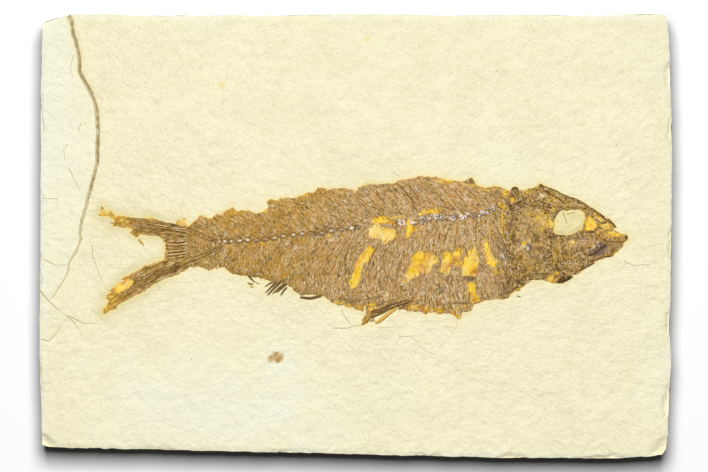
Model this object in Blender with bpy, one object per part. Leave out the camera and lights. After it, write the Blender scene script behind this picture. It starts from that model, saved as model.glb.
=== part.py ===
"""Fossil fish slab: a slab of laminated limestone with a flattened fish bedded in its face.

The slab is a stack of beds with a broken rim. The fish is one thin fossil: a film of skin and scales with a
domed flank, from which the backbone, ribs, fin rays and skull bones stand up. It lies in a shallow hollow.

+Z is up, out of the fossil face, +X points along the slab towards the fish's snout, and the origin is the
centre of the slab's underside. Sizes below are in millimetres, and MM turns them into metres.
"""

import math

import bmesh
import bpy
from mathutils import Vector

MM = 0.001

# Slab
THICKNESS = 10.0
BED_TOPS = (2.4, 4.9, 7.5, THICKNESS)
BED_INSETS = (1.3, 0.5, 0.9, 0.0)
BED_RIPPLE = 0.25
BED_OVERLAP = 0.2
CRACK_DEPTH = 0.45

# Fish
GAP = 0.3
HOLLOW_MARGIN = 0.4
HOLLOW_DEPTH = 0.8
FILM_LOW = THICKNESS - HOLLOW_DEPTH + GAP
FILM_TOP = THICKNESS + 0.35
DOME_CENTRE = (8.0, -1.6)
DOME_HALF_SIZE = (44.0, 11.5, 0.75)
DOME_LOW = FILM_TOP - 0.05
WINDOW_FLOOR = FILM_TOP + 0.05
BONE_PITCH = 2.1
FIRST_BONE_X = -32.6
BONE_COUNT = 32
SPINE_RADIUS = 0.32
RIB_RADIUS = 0.34
RAY_RADIUS = 0.26
BAR_RISE = -0.06
BAR_ROOT = 0.6
EDGE_MARGIN = 0.9
SPINE_LEAN = 0.85
RIB_SWEEP = 11.0
RIB_BEND = 13.0
SWEEP_END_X = 30.0
SWEEP_SPAN = 20.0
TRIM_STEP = 0.2
CENTRUM_SIZE = (0.82, 0.70, 0.66)
CENTRUM_RISE = -0.06
BARE_STRETCH = (3.0, 14.0)
PLATE_ROOT = 0.2
CUT_HIGH = THICKNESS + 3.0
CUT_BELOW = 1.0

# How long the spines and ribs are: the shortest, how much more the longest is, where that is, and its spread.
SPINE_REACH = (4.2, 5.4, 14.0, 26.0)
RIB_REACH = (4.4, 11.6, 17.0, 24.0)

# The slab's broken edge, anticlockwise from the near left corner.
SLAB_EDGE = (
    (-74.5, -48.4), (-74.1, -49.6), (-72.9, -50.0), (-62.0, -50.3), (-51.6, -50.5), (-39.0, -50.8),
    (-27.4, -51.1), (-15.0, -51.3), (-3.4, -51.6), (8.0, -52.0), (18.5, -52.1), (29.4, -52.4),
    (40.7, -52.6), (49.0, -52.5), (56.9, -52.7), (63.0, -52.6), (69.4, -52.1), (72.3, -51.7),
    (73.6, -50.3), (73.9, -46.7), (74.2, -41.0), (74.3, -36.6), (74.75, -29.5), (74.4, -24.1),
    (74.55, -15.1), (74.8, 0.0), (75.0, 18.1), (74.8, 32.3), (74.6, 38.2), (74.4, 44.1),
    (74.0, 50.7), (73.7, 52.0), (72.9, 52.6), (66.6, 52.7), (62.3, 52.5), (51.5, 52.3),
    (45.0, 52.6), (27.0, 52.5), (20.0, 52.3), (15.5, 52.6), (-3.4, 52.7), (-22.2, 52.3),
    (-29.8, 52.5), (-48.0, 52.3), (-59.2, 52.6), (-66.1, 52.6), (-68.3, 52.3), (-69.8, 51.9),
    (-73.2, 50.8), (-74.3, 49.8), (-74.4, 46.5), (-74.7, 32.3), (-74.7, 18.0), (-74.8, 1.5),
    (-74.9, -15.0), (-75.0, -31.2), (-74.7, -36.4), (-74.5, -41.1),
)

# Shell-shaped scars where the rim has chipped: x, y, half length, half width, turn in degrees.
CHIPS = (
    (74.9, 38.0, 4.2, 2.0, 90.0), (75.4, 25.0, 6.0, 1.9, 88.0), (75.4, -2.0, 8.0, 1.7, 91.0),
    (75.0, -20.0, 4.8, 1.9, 88.0), (74.6, -39.5, 5.6, 2.4, 92.0), (73.2, -50.4, 4.2, 3.0, 55.0),
    (58.5, -53.4, 7.5, 1.9, 2.0), (38.0, -53.3, 6.0, 1.8, -2.0), (17.0, -53.0, 7.0, 1.8, -1.0),
    (-18.0, -52.2, 8.0, 1.8, -1.0), (-47.0, -51.6, 6.0, 1.8, -2.0), (-73.8, -49.4, 3.6, 2.6, -45.0),
    (67.5, 53.3, 7.0, 1.9, -3.0), (49.0, 53.2, 6.0, 1.7, 1.0), (21.0, 53.3, 5.0, 1.8, 3.0),
    (-12.0, 53.5, 9.0, 1.7, 0.0), (-44.0, 53.2, 8.0, 1.7, 1.0), (-72.4, 52.3, 4.8, 3.0, 32.0),
    (-75.6, 28.0, 8.0, 1.8, 90.0), (-75.8, -6.0, 9.0, 1.7, 90.0), (-75.8, -33.0, 6.5, 1.9, 92.0),
)
CHIP_DEPTH = 1.7
CHIP_RISE = 0.4

# The open crack that runs down the slab, from its far edge: x, y, half width.
CRACK = (
    (-67.9, 53.6, 0.55), (-67.0, 48.7, 0.50), (-66.5, 45.1, 0.42), (-65.4, 43.2, 0.42), (-65.5, 38.9, 0.45),
    (-64.0, 35.6, 0.42), (-62.5, 33.1, 0.38), (-61.6, 29.8, 0.45), (-61.1, 25.2, 0.42), (-61.1, 21.1, 0.42),
    (-61.9, 13.9, 0.38), (-63.2, 9.5, 0.38), (-64.3, 5.9, 0.34), (-65.0, 2.3, 0.32), (-65.4, -1.0, 0.30),
    (-66.5, -3.9, 0.26), (-68.1, -6.8, 0.26), (-68.7, -10.0, 0.24), (-70.1, -12.2, 0.22), (-72.1, -14.9, 0.18),
)

# The fish's edge, clockwise from the tip of the tail's upper lobe.
BACK_EDGE = (
    (-60.6, 5.1), (-60.5, 6.1), (-60.0, 6.9), (-59.4, 6.3), (-57.7, 5.9), (-56.8, 4.8), (-54.9, 4.9),
    (-51.5, 4.1), (-49.9, 3.9), (-49.3, 4.5), (-47.0, 3.9), (-44.8, 3.0), (-44.1, 2.5), (-42.4, 2.6),
    (-42.1, 3.5), (-41.2, 4.1), (-40.2, 3.9), (-39.2, 4.0), (-38.2, 3.9), (-37.2, 4.9), (-36.3, 5.0),
    (-34.6, 4.4), (-33.4, 4.6), (-33.0, 5.5), (-31.6, 5.6), (-30.6, 6.4), (-29.4, 6.7), (-28.2, 6.2),
    (-25.8, 6.4), (-25.1, 5.8), (-23.0, 5.4), (-21.6, 6.2), (-20.8, 6.5), (-21.0, 8.4), (-19.8, 8.7),
    (-17.9, 8.7), (-17.4, 9.1), (-13.7, 9.2), (-12.2, 9.8), (-11.7, 10.4), (-9.4, 10.5), (-9.0, 11.3),
    (-7.0, 11.4), (-6.2, 11.0), (-3.8, 11.2), (-3.3, 11.9), (-2.1, 12.0), (-1.5, 11.3), (-0.3, 11.1),
    (0.5, 11.8), (2.2, 12.0), (3.0, 12.5), (5.8, 12.2), (6.6, 12.5), (7.8, 12.3), (9.6, 12.7),
    (10.1, 13.4), (12.4, 13.7), (14.0, 13.8), (15.1, 14.3), (16.0, 14.4), (18.0, 14.2), (20.5, 13.8),
    (23.5, 13.3), (25.9, 12.8), (26.2, 13.7), (27.2, 13.8), (28.2, 13.4), (28.3, 12.5), (29.6, 11.7),
    (30.8, 11.3), (32.7, 11.8), (33.9, 11.2), (35.1, 10.8), (36.2, 10.5), (36.9, 11.6), (38.3, 11.7),
    (38.8, 11.0), (40.0, 11.0), (42.7, 11.5), (43.6, 12.4),
)
SNOUT_EDGE = (
    (44.5, 12.0), (47.0, 10.6), (49.4, 9.5), (51.8, 8.9), (54.2, 7.8), (56.6, 6.2), (58.8, 4.6),
    (59.9, 4.1), (61.5, 2.7), (61.8, 1.9), (61.0, 1.3), (62.2, 0.4), (64.2, 0.3), (64.5, -0.4),
    (64.3, -1.2), (63.2, -1.8), (61.8, -3.8), (60.1, -5.0), (58.9, -4.7), (57.8, -5.2), (54.5, -7.7),
    (53.2, -8.5), (51.0, -8.9), (51.5, -9.6), (50.1, -10.6), (47.9, -11.2), (46.7, -11.3), (45.0, -10.7),
    (43.0, -10.1), (41.4, -10.1),
)
BELLY_EDGE = (
    (40.5, -11.1), (39.0, -12.5), (37.1, -13.3), (36.1, -14.0), (34.7, -15.0), (32.7, -14.4), (30.5, -15.3),
    (29.1, -16.0), (27.7, -15.9), (27.5, -17.2), (25.7, -17.9), (24.3, -19.0), (23.3, -19.3), (22.1, -18.2),
    (19.0, -18.4), (16.5, -18.3), (14.2, -17.5), (12.2, -17.7), (10.5, -17.5), (9.8, -16.6), (8.3, -17.7),
    (6.3, -19.5), (5.3, -20.4), (3.4, -20.5), (1.6, -20.7), (2.2, -19.2), (2.4, -17.9), (0.9, -17.3),
    (-1.9, -16.7), (-4.7, -15.9), (-6.3, -15.0), (-7.9, -14.0), (-9.1, -14.5), (-12.7, -14.7), (-13.7, -13.8),
    (-15.1, -12.7), (-15.8, -11.7), (-16.7, -12.6), (-17.4, -13.8), (-18.6, -13.0), (-20.8, -14.1),
    (-21.5, -13.4), (-21.6, -12.0), (-20.9, -10.8), (-21.9, -10.1), (-23.7, -10.7), (-24.6, -10.2),
    (-26.0, -9.3), (-28.8, -9.2), (-29.6, -8.7), (-31.1, -7.4), (-32.4, -7.2), (-34.2, -7.7), (-36.1, -7.4),
    (-39.1, -7.2),
)
TAIL_EDGE = (
    (-41.0, -8.4), (-43.2, -9.6), (-45.0, -9.9), (-48.1, -11.4), (-50.1, -12.7), (-52.4, -14.0), (-54.7, -15.2),
    (-55.7, -15.8), (-57.1, -17.1), (-59.8, -18.3), (-60.4, -17.3), (-59.2, -16.3), (-58.6, -15.5),
    (-59.4, -14.6), (-58.3, -13.4), (-57.9, -12.5), (-56.1, -11.4), (-54.6, -10.6), (-54.8, -9.8),
    (-52.6, -9.0), (-52.0, -8.0), (-50.0, -7.0), (-47.7, -6.2), (-45.6, -5.4), (-45.2, -4.5), (-45.1, -3.3),
    (-45.0, -2.2), (-45.1, -0.9), (-46.5, -0.2), (-49.0, 0.3), (-51.6, 0.1), (-53.1, 0.7), (-53.0, 1.8),
    (-55.6, 2.2), (-57.3, 2.4), (-57.0, 3.4), (-57.7, 4.3), (-59.5, 4.7),
)
BACK_RISE = sorted(BACK_EDGE + SNOUT_EDGE[:10])
BELLY_FALL = sorted(BELLY_EDGE + SNOUT_EDGE[-3:])
ORBIT = (
    (46.8, 0.8), (47.0, 2.4), (47.3, 3.8), (47.8, 5.5), (48.8, 6.3), (50.1, 6.6), (51.8, 6.9), (53.2, 6.6),
    (54.4, 5.7), (54.6, 4.4), (54.1, 3.0), (53.2, 1.6), (51.6, 0.7), (50.1, 0.4), (48.4, 0.4),
)

# Places where skin and bone have flaked off the flank and show the stained stone.
WINDOWS = (
    ((3.2, -2.1), (4.7, -3.4), (3.2, -5.2), (1.5, -8.5), (0.7, -11.8), (-0.6, -12.7), (-1.6, -11.8),
     (-0.6, -8.7), (0.7, -5.5), (1.9, -3.4)),
    ((14.5, -3.8), (13.2, -4.9), (12.4, -8.0), (11.8, -8.8), (12.2, -10.1), (15.0, -9.6), (15.3, -8.5),
     (17.8, -8.5), (18.3, -7.0), (19.7, -6.9), (19.7, -5.4), (18.4, -4.9), (18.0, -3.9)),
    ((21.1, -3.3), (22.1, -3.1), (22.8, -3.8), (23.5, -2.9), (24.5, -3.6), (24.6, -5.3), (22.8, -7.2),
     (22.1, -8.2), (20.8, -7.9), (20.4, -6.2)),
    ((27.2, -3.0), (28.1, -1.8), (28.8, -2.9), (29.1, -6.5), (28.7, -9.0), (25.2, -9.1), (25.4, -5.5)),
    ((30.6, -0.4), (31.7, -0.9), (31.7, -3.8), (33.2, -6.2), (32.7, -7.7), (31.7, -8.0), (30.5, -3.8)),
    ((26.6, -11.3), (27.8, -11.1), (28.8, -14.5), (28.4, -15.3), (27.6, -15.3), (26.5, -13.7)),
    ((3.0, 2.2), (4.7, 4.4), (6.3, 4.7), (8.3, 2.7), (9.8, 3.2), (12.1, 4.7), (13.5, 4.5), (13.9, 1.7),
     (13.2, -0.6), (11.4, -0.6), (10.4, 0.4), (6.7, -1.7), (4.0, -0.6), (3.0, 0.4)),
)

# The line of the backbone, from the tail to the skull.
BACKBONE = (
    (-34.0, -1.8), (-31.0, -1.1), (-25.0, -0.9), (-21.0, -0.5), (-17.0, 0.2), (-12.0, 0.5), (-8.0, 0.6),
    (-4.0, 1.1), (0.0, 1.8), (4.0, 2.4), (8.0, 2.7), (12.0, 3.1), (16.0, 3.8), (20.0, 4.3), (25.0, 4.5),
    (29.0, 5.2), (33.0, 6.6), (36.0, 7.2),
)

# Raised bones of the skull and shoulder: outline, then height over the film.
SKULL_PLATES = (
    # skull roof, from the nape to the snout
    (((43.3, 11.4), (44.4, 11.6), (49.3, 9.1), (54.0, 7.4), (56.4, 5.8), (59.0, 3.7), (58.0, 3.6),
      (55.4, 5.2), (54.9, 6.4), (52.0, 7.3), (49.4, 7.3), (48.0, 8.7), (45.4, 9.9), (43.2, 9.5)), 0.75),
    # gill cover
    (((39.0, 6.6), (42.0, 6.9), (44.6, 5.0), (45.6, 1.6), (45.2, -3.0), (42.8, -7.4), (40.2, -8.6),
      (38.3, -7.0), (37.0, -3.4), (36.6, 1.0), (37.2, 4.8)), 0.80),
    # cheek, under the eye
    (((46.2, -0.6), (50.0, -0.5), (53.6, 0.4), (57.0, 0.6), (59.6, -0.4), (57.6, -2.2), (53.8, -3.2),
      (50.0, -4.6), (46.8, -4.9), (46.0, -2.6)), 0.70),
    # lower jaw
    (((50.0, -6.2), (54.6, -4.6), (59.2, -2.0), (63.4, -0.9), (63.3, -1.6), (61.5, -3.6), (59.8, -4.3),
      (57.6, -4.8), (54.0, -7.3), (50.6, -8.2)), 0.62),
    # upper jaw
    (((58.6, 3.0), (60.6, 2.2), (61.2, 0.6), (63.9, -0.1), (63.6, -0.6), (60.0, -0.3), (57.6, 1.2)), 0.60),
    # throat plate
    (((47.6, -9.4), (50.9, -9.3), (49.8, -10.4), (47.8, -10.8)), 0.55),
    # shoulder bones, behind the gill cover
    (((33.9, 1.6), (34.7, 1.4), (36.4, -3.6), (37.2, -7.4), (35.8, -7.6), (34.9, -5.0), (34.4, -1.6)), 0.70),
    (((36.4, 7.2), (37.4, 6.7), (41.0, 9.2), (40.2, 10.1), (37.6, 8.9)), 0.70),
)

# Fans of rays and small bones: the first and the last of each, root to tip, and how many.
FANS = (
    # tail, upper lobe
    (((-38.2, 1.4), (-46.0, 3.2), (-55.8, 4.2)), ((-38.6, -0.9), (-45.0, 0.7), (-52.0, 1.5)), 5),
    # tail, middle
    (((-37.8, -1.7), (-41.0, -1.6), (-44.6, -1.4)), ((-37.8, -3.6), (-41.0, -4.0), (-44.7, -4.2)), 3),
    # tail, lower lobe
    (((-38.4, -4.5), (-46.0, -6.7), (-53.4, -10.1)), ((-39.0, -6.7), (-48.4, -10.8), (-58.9, -17.0)), 5),
    # anal fin
    (((-16.8, -10.2), (-17.2, -11.6), (-17.4, -12.9)), ((-19.6, -9.4), (-20.5, -11.0), (-20.9, -12.5)), 4),
    # pelvic fin
    (((9.8, -15.4), (6.2, -17.4), (2.8, -19.3)), ((9.2, -16.8), (6.8, -18.6), (4.2, -20.0)), 3),
    # the bones that carried the back fin
    (((9.4, 10.2), (10.9, 9.0), (12.4, 7.4)), ((20.4, 11.4), (21.9, 10.0), (23.4, 8.4)), 5),
    # belly scutes, which lie along the keel
    (((24.6, -16.0), (20.6, -16.4), (16.6, -16.3)), ((25.2, -17.0), (20.8, -17.5), (16.8, -17.2)), 2),
)


def clear_scene():
    """Removes every object of the file."""
    for old in list(bpy.data.objects):
        bpy.data.objects.remove(old, do_unlink=True)


def new_collection(name):
    """A collection of its own in the scene."""
    made = bpy.data.collections.new(name)
    bpy.context.scene.collection.children.link(made)
    return made


def give_material(target, name, color, roughness):
    """Gives the target a plain finish of its own."""
    made = bpy.data.materials.new(name)
    made.use_nodes = True
    shader = made.node_tree.nodes["Principled BSDF"]
    shader.inputs["Base Color"].default_value = (*color, 1.0)
    shader.inputs["Roughness"].default_value = roughness
    shader.inputs["Metallic"].default_value = 0.0
    target.data.materials.append(made)


def as_mesh_object(source, name):
    """The evaluated curve or modified mesh as a plain mesh object, with its loose caps welded on."""
    bpy.context.view_layer.update()
    graph = bpy.context.evaluated_depsgraph_get()
    mesh = bpy.data.meshes.new_from_object(source.evaluated_get(graph))
    shape = bmesh.new()
    shape.from_mesh(mesh)
    bmesh.ops.remove_doubles(shape, verts=shape.verts, dist=1e-6)
    bmesh.ops.recalc_face_normals(shape, faces=shape.faces)
    shape.to_mesh(mesh)
    shape.free()
    made = bpy.data.objects.new(name, mesh)
    made.matrix_world = source.matrix_world
    parts.objects.link(made)
    bpy.data.objects.remove(source)
    return made


def poly_curve(name, dimensions):
    """An empty curve object among the parts."""
    curve = bpy.data.curves.new(name, "CURVE")
    curve.dimensions = dimensions
    made = bpy.data.objects.new(name, curve)
    parts.objects.link(made)
    return made


def add_spline(curve, points, closed):
    """Adds a run of straight segments to the curve, from points in millimetres."""
    spline = curve.splines.new("POLY")
    spline.points.add(len(points) - 1)
    for control, point in zip(spline.points, points):
        control.co = (*(value * MM for value in point), 1.0)
    spline.use_cyclic_u = closed


def plate(name, outline, low, high):
    """A flat piece with this outline between two heights."""
    curve_object = poly_curve(name + "_outline", "2D")
    curve = curve_object.data
    curve.fill_mode = "BOTH"
    curve.extrude = (high - low) / 2 * MM
    add_spline(curve, [(x, y, 0.0) for x, y in outline], True)
    curve_object.location.z = (low + high) / 2 * MM
    return as_mesh_object(curve_object, name)


def bar(name, path, radius):
    """A four-sided bar along a path."""
    curve_object = poly_curve(name + "_path", "3D")
    curve = curve_object.data
    curve.bevel_depth = radius * MM
    curve.bevel_resolution = 0
    curve.use_fill_caps = True
    add_spline(curve, path, False)
    return as_mesh_object(curve_object, name)


def ellipsoid(name, centre, half_size, segments, rings, turn=0.0):
    """A faceted ellipsoid, turned about the vertical."""
    bpy.ops.mesh.primitive_uv_sphere_add(
        segments=segments,
        ring_count=rings,
        radius=1.0,
        location=[value * MM for value in centre],
        rotation=(0.0, 0.0, math.radians(turn)),
        scale=[value * MM for value in half_size],
    )
    made = bpy.context.active_object
    made.name = name
    for home in list(made.users_collection):
        home.objects.unlink(made)
    parts.objects.link(made)
    bpy.ops.object.transform_apply(location=True, rotation=True, scale=True)
    return made


def combine(target, others, operation):
    """Joins the other pieces to the target, or cuts them out, and keeps them among the cutters."""
    group = bpy.data.collections.new(target.name + "_" + operation.lower())
    cutters.children.link(group)
    for other in others:
        parts.objects.unlink(other)
        group.objects.link(other)
        other.hide_render = True
        other.display_type = "WIRE"
    modifier = target.modifiers.new(group.name, "BOOLEAN")
    modifier.operation = operation
    modifier.solver = "EXACT"
    modifier.operand_type = "COLLECTION"
    modifier.collection = group


def offset_outline(outline, by):
    """The closed outline moved outwards by this much, for an outline that runs clockwise or anticlockwise."""
    count = len(outline)
    area = sum(
        outline[i][0] * outline[(i + 1) % count][1] - outline[(i + 1) % count][0] * outline[i][1]
        for i in range(count)
    )
    side = 1.0 if area > 0.0 else -1.0
    moved = []
    for i in range(count):
        here = Vector(outline[i])
        back = (here - Vector(outline[i - 1])).normalized()
        ahead = (Vector(outline[(i + 1) % count]) - here).normalized()
        outward = (back + ahead).normalized()
        outward = Vector((outward.y, -outward.x)) * side
        square = Vector((back.y, -back.x)) * side
        reach = by / max(outward.dot(square), 0.6)
        moved.append(tuple(here + outward * reach))
    return moved


def between(points, x):
    """The height of a line through these points at x."""
    for (x0, y0), (x1, y1) in zip(points, points[1:]):
        if x <= x1:
            return y0 + (y1 - y0) * (x - x0) / (x1 - x0)
    return points[-1][1]


def skin_height(x, y):
    """The top of the domed flank over a point of the slab."""
    u = (x - DOME_CENTRE[0]) / DOME_HALF_SIZE[0]
    v = (y - DOME_CENTRE[1]) / DOME_HALF_SIZE[1]
    dome = DOME_LOW + DOME_HALF_SIZE[2] * math.sqrt(max(0.0, 1.0 - u * u - v * v))
    return max(FILM_TOP, dome)


def on_skin(x, y):
    """The middle of a bar that lies on the skin here."""
    return (x, y, skin_height(x, y) + BAR_RISE)


def longest(reach, base_x):
    """How long a spine or rib is at this place of the backbone before it is trimmed to the fish's edge."""
    shortest, swell, middle, spread = reach
    return shortest + swell * math.exp(-(((base_x - middle) / spread) ** 2))


def spine_path(base_x, steps):
    """A spine over the backbone: it leans back towards the tail and ends short of the back."""
    reach = longest(SPINE_REACH, base_x)
    while between(BACKBONE, base_x) + reach > between(BACK_RISE, base_x - SPINE_LEAN * reach) - EDGE_MARGIN:
        reach -= TRIM_STEP
    path = []
    for i in range(steps + 1):
        rise = BAR_ROOT + (reach - BAR_ROOT) * i / steps
        path.append(on_skin(base_x - SPINE_LEAN * rise, between(BACKBONE, base_x) + rise))
    return path


def rib_point(base_x, depth):
    """A point of a rib: it sweeps back and then down, and those by the gills run straight down."""
    sweep = RIB_SWEEP * min(1.0, max(-0.1, (SWEEP_END_X - base_x) / SWEEP_SPAN))
    return base_x - sweep * (1.0 - math.exp(-depth / RIB_BEND)), between(BACKBONE, base_x) - depth


def rib_path(base_x, steps):
    """A rib under the backbone, which ends short of the belly."""
    reach = longest(RIB_REACH, base_x)
    while rib_point(base_x, reach)[1] < between(BELLY_FALL, rib_point(base_x, reach)[0]) + EDGE_MARGIN:
        reach -= TRIM_STEP
    return [on_skin(*rib_point(base_x, BAR_ROOT + (reach - BAR_ROOT) * i / steps)) for i in range(steps + 1)]


def fan_paths(first, last, count):
    """Rays spread evenly between the first and the last."""
    paths = []
    for i in range(count):
        share = i / (count - 1)
        path = []
        for (x0, y0), (x1, y1) in zip(first, last):
            path.append(on_skin(x0 + (x1 - x0) * share, y0 + (y1 - y0) * share))
        paths.append(path)
    return paths


def bed_outline(inset, number):
    """The slab's edge for one bed, drawn in and rippled so that the beds stand in ledges."""
    if inset == 0.0:
        return SLAB_EDGE
    drawn = []
    for i, (x, y) in enumerate(offset_outline(SLAB_EDGE[::2], -inset)):
        ripple = BED_RIPPLE * math.sin(2.3 * i + 1.7 * number)
        drawn.append((x * (1.0 + ripple / 75.0), y * (1.0 + ripple / 52.0)))
    return drawn


def slab_pieces():
    """The stone: its lowest bed, the beds over it, and what is cut from them.

    The cuts are the chips along the upper rim, the crack, and the hollow that holds the fish.
    """
    lows = (0.0, *BED_TOPS[:-1])
    beds = []
    for number, (low, high, inset) in enumerate(zip(lows, BED_TOPS, BED_INSETS)):
        foot = low - (BED_OVERLAP if number else 0.0)
        beds.append(plate(f"bed_{number}", bed_outline(inset, number), foot, high))
    slab = beds.pop(0)
    slab.name = "limestone_slab"
    give_material(slab, "limestone", (0.82, 0.77, 0.58), 0.85)
    cuts = [
        ellipsoid("chip", (x, y, THICKNESS + CHIP_RISE), (length, width, CHIP_DEPTH), 8, 6, turn)
        for x, y, length, width, turn in CHIPS
    ]
    cuts.append(crack_cutter())
    hollow_edge = offset_outline(fish_edge(), HOLLOW_MARGIN)
    cuts.append(plate("hollow", hollow_edge, THICKNESS - HOLLOW_DEPTH, CUT_HIGH))
    return slab, beds, cuts


def crack_cutter():
    """A blade along the crack, as wide as the crack is at each point."""
    left = [(x - half, y) for x, y, half in CRACK]
    right = [(x + half, y) for x, y, half in reversed(CRACK)]
    return plate("crack", left + right, THICKNESS - CRACK_DEPTH, CUT_HIGH)


def fish_edge():
    """The fish's whole outline."""
    return BACK_EDGE + SNOUT_EDGE + BELLY_EDGE + TAIL_EDGE


def centrum(x):
    """One bone of the backbone."""
    y = between(BACKBONE, x)
    return ellipsoid("centrum", (x, y, skin_height(x, y) + CENTRUM_RISE), CENTRUM_SIZE, 6, 4)


def fish_pieces():
    """The fossil: its film, the relief that stands on it, and what is cut from them.

    The relief is the domed flank, the skull bones, the backbone, the spines, the ribs and the fin rays.
    The cuts are the flaked windows in the flank and the open eye socket.
    """
    fish = plate("fossil_fish", fish_edge(), FILM_LOW, FILM_TOP)
    give_material(fish, "fossil_bone", (0.33, 0.19, 0.07), 0.55)
    relief = [ellipsoid("dome", (*DOME_CENTRE, DOME_LOW), DOME_HALF_SIZE, 20, 8)]
    relief += [plate("bone", outline, FILM_TOP - PLATE_ROOT, FILM_TOP + rise) for outline, rise in SKULL_PLATES]
    bone_places = [FIRST_BONE_X + BONE_PITCH * i for i in range(BONE_COUNT)]
    relief += [centrum(x) for x in bone_places if not BARE_STRETCH[0] < x < BARE_STRETCH[1]]
    relief += [bar("spine", spine_path(x + BONE_PITCH / 2, 1), SPINE_RADIUS) for x in bone_places]
    relief += [bar("rib", rib_path(x + BONE_PITCH / 2, 2), RIB_RADIUS) for x in bone_places]
    relief += [bar("ray", path, RAY_RADIUS) for fan in FANS for path in fan_paths(*fan)]
    cuts = [plate("window", outline, WINDOW_FLOOR, CUT_HIGH) for outline in WINDOWS]
    cuts.append(plate("orbit", ORBIT, FILM_LOW - CUT_BELOW, CUT_HIGH))
    return fish, relief, cuts


def main():
    """Builds the slab and the fossil, and joins and cuts each one's pieces."""
    for target, joined, cuts in (slab_pieces(), fish_pieces()):
        combine(target, joined, "UNION")
        combine(target, cuts, "DIFFERENCE")


clear_scene()
parts = new_collection("fossil_fish_slab")
cutters = new_collection("cutters")
main()
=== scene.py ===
"""Dresses the fossil fish slab.

The stone and the fossil film are fine meshes worked out by formula over drawn outlines. Backbone,
ribs, fin rays, slivers of scale and mineral specks are laid over them with Geometry Nodes. Outlines and
sizes are in millimetres, and MM turns them into metres. The frame's own +Z, +X and origin are kept.
"""

import logging
import math
from dataclasses import dataclass, field
from enum import Enum
from typing import Callable, Iterable, Sequence

import bpy
import numpy as np
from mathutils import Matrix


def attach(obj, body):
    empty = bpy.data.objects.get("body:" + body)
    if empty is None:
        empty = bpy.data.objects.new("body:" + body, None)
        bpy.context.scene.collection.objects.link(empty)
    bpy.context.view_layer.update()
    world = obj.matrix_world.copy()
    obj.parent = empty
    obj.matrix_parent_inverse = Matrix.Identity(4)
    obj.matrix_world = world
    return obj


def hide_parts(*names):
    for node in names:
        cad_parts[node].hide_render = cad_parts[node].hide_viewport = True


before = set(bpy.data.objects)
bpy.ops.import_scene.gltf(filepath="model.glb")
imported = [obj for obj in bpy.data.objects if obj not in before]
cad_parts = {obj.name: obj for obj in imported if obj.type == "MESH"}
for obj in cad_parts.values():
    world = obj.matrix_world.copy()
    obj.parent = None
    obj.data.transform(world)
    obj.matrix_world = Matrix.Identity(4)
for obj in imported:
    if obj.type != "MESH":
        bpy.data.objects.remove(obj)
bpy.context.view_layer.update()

MM = 0.001
FACE_HEIGHT = 10.0
BODY = "root"

Point = tuple[float, float]
Points = Sequence[Point]
Array = np.ndarray
Socket = bpy.types.NodeSocket
Node = bpy.types.Node
NodeTree = bpy.types.NodeTree
Material = bpy.types.Material
Piece = bpy.types.Object
Box = tuple[float, float, float, float]

log = logging.getLogger("fossil_fish_slab")

# Drawn outlines.

NEAR_EDGE: Points = (
    (-74.4, -49.3), (-72.9, -50), (-62, -50.3), (-51.6, -50.5), (-39, -50.8), (-27.4, -51.1), (-15, -51.3),
    (-3.4, -51.6), (8, -52), (18.5, -52.1), (29.4, -52.4), (40.7, -52.6), (49, -52.5), (56.9, -52.7),
    (63, -52.6), (69.4, -52.2), (72.6, -51.7),
)
RIGHT_EDGE: Points = (
    (72.6, -51.7), (73.6, -50.3), (73.9, -46.7), (74.2, -41), (74.3, -36.6), (74.75, -29.5), (74.4, -24.1),
    (74.55, -15.1), (74.8, 0), (75, 18.1), (74.8, 32.3), (74.5, 36), (74.6, 38.2), (74.4, 44.1), (74, 50.7),
    (73.6, 52.2),
)
FAR_EDGE: Points = (
    (-74.2, 50.1), (-73.2, 51), (-69.8, 52), (-68.3, 52.4), (-66.1, 52.65), (-59.2, 52.6), (-48, 52.3),
    (-29.8, 52.5), (-22.2, 52.3), (-3.4, 52.7), (15.5, 52.6), (20, 52.3), (27, 52.5), (45, 52.6),
    (51.5, 52.3), (62.3, 52.5), (66.6, 52.7), (72.2, 52.65), (73.6, 52.2),
)
LEFT_EDGE: Points = (
    (-74.4, -49.3), (-74.6, -41.1), (-74.7, -36.4), (-75, -31.2), (-74.9, -15), (-74.8, 1.5), (-74.7, 18),
    (-74.7, 32.3), (-74.4, 46.5), (-74.2, 50.1),
)

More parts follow.
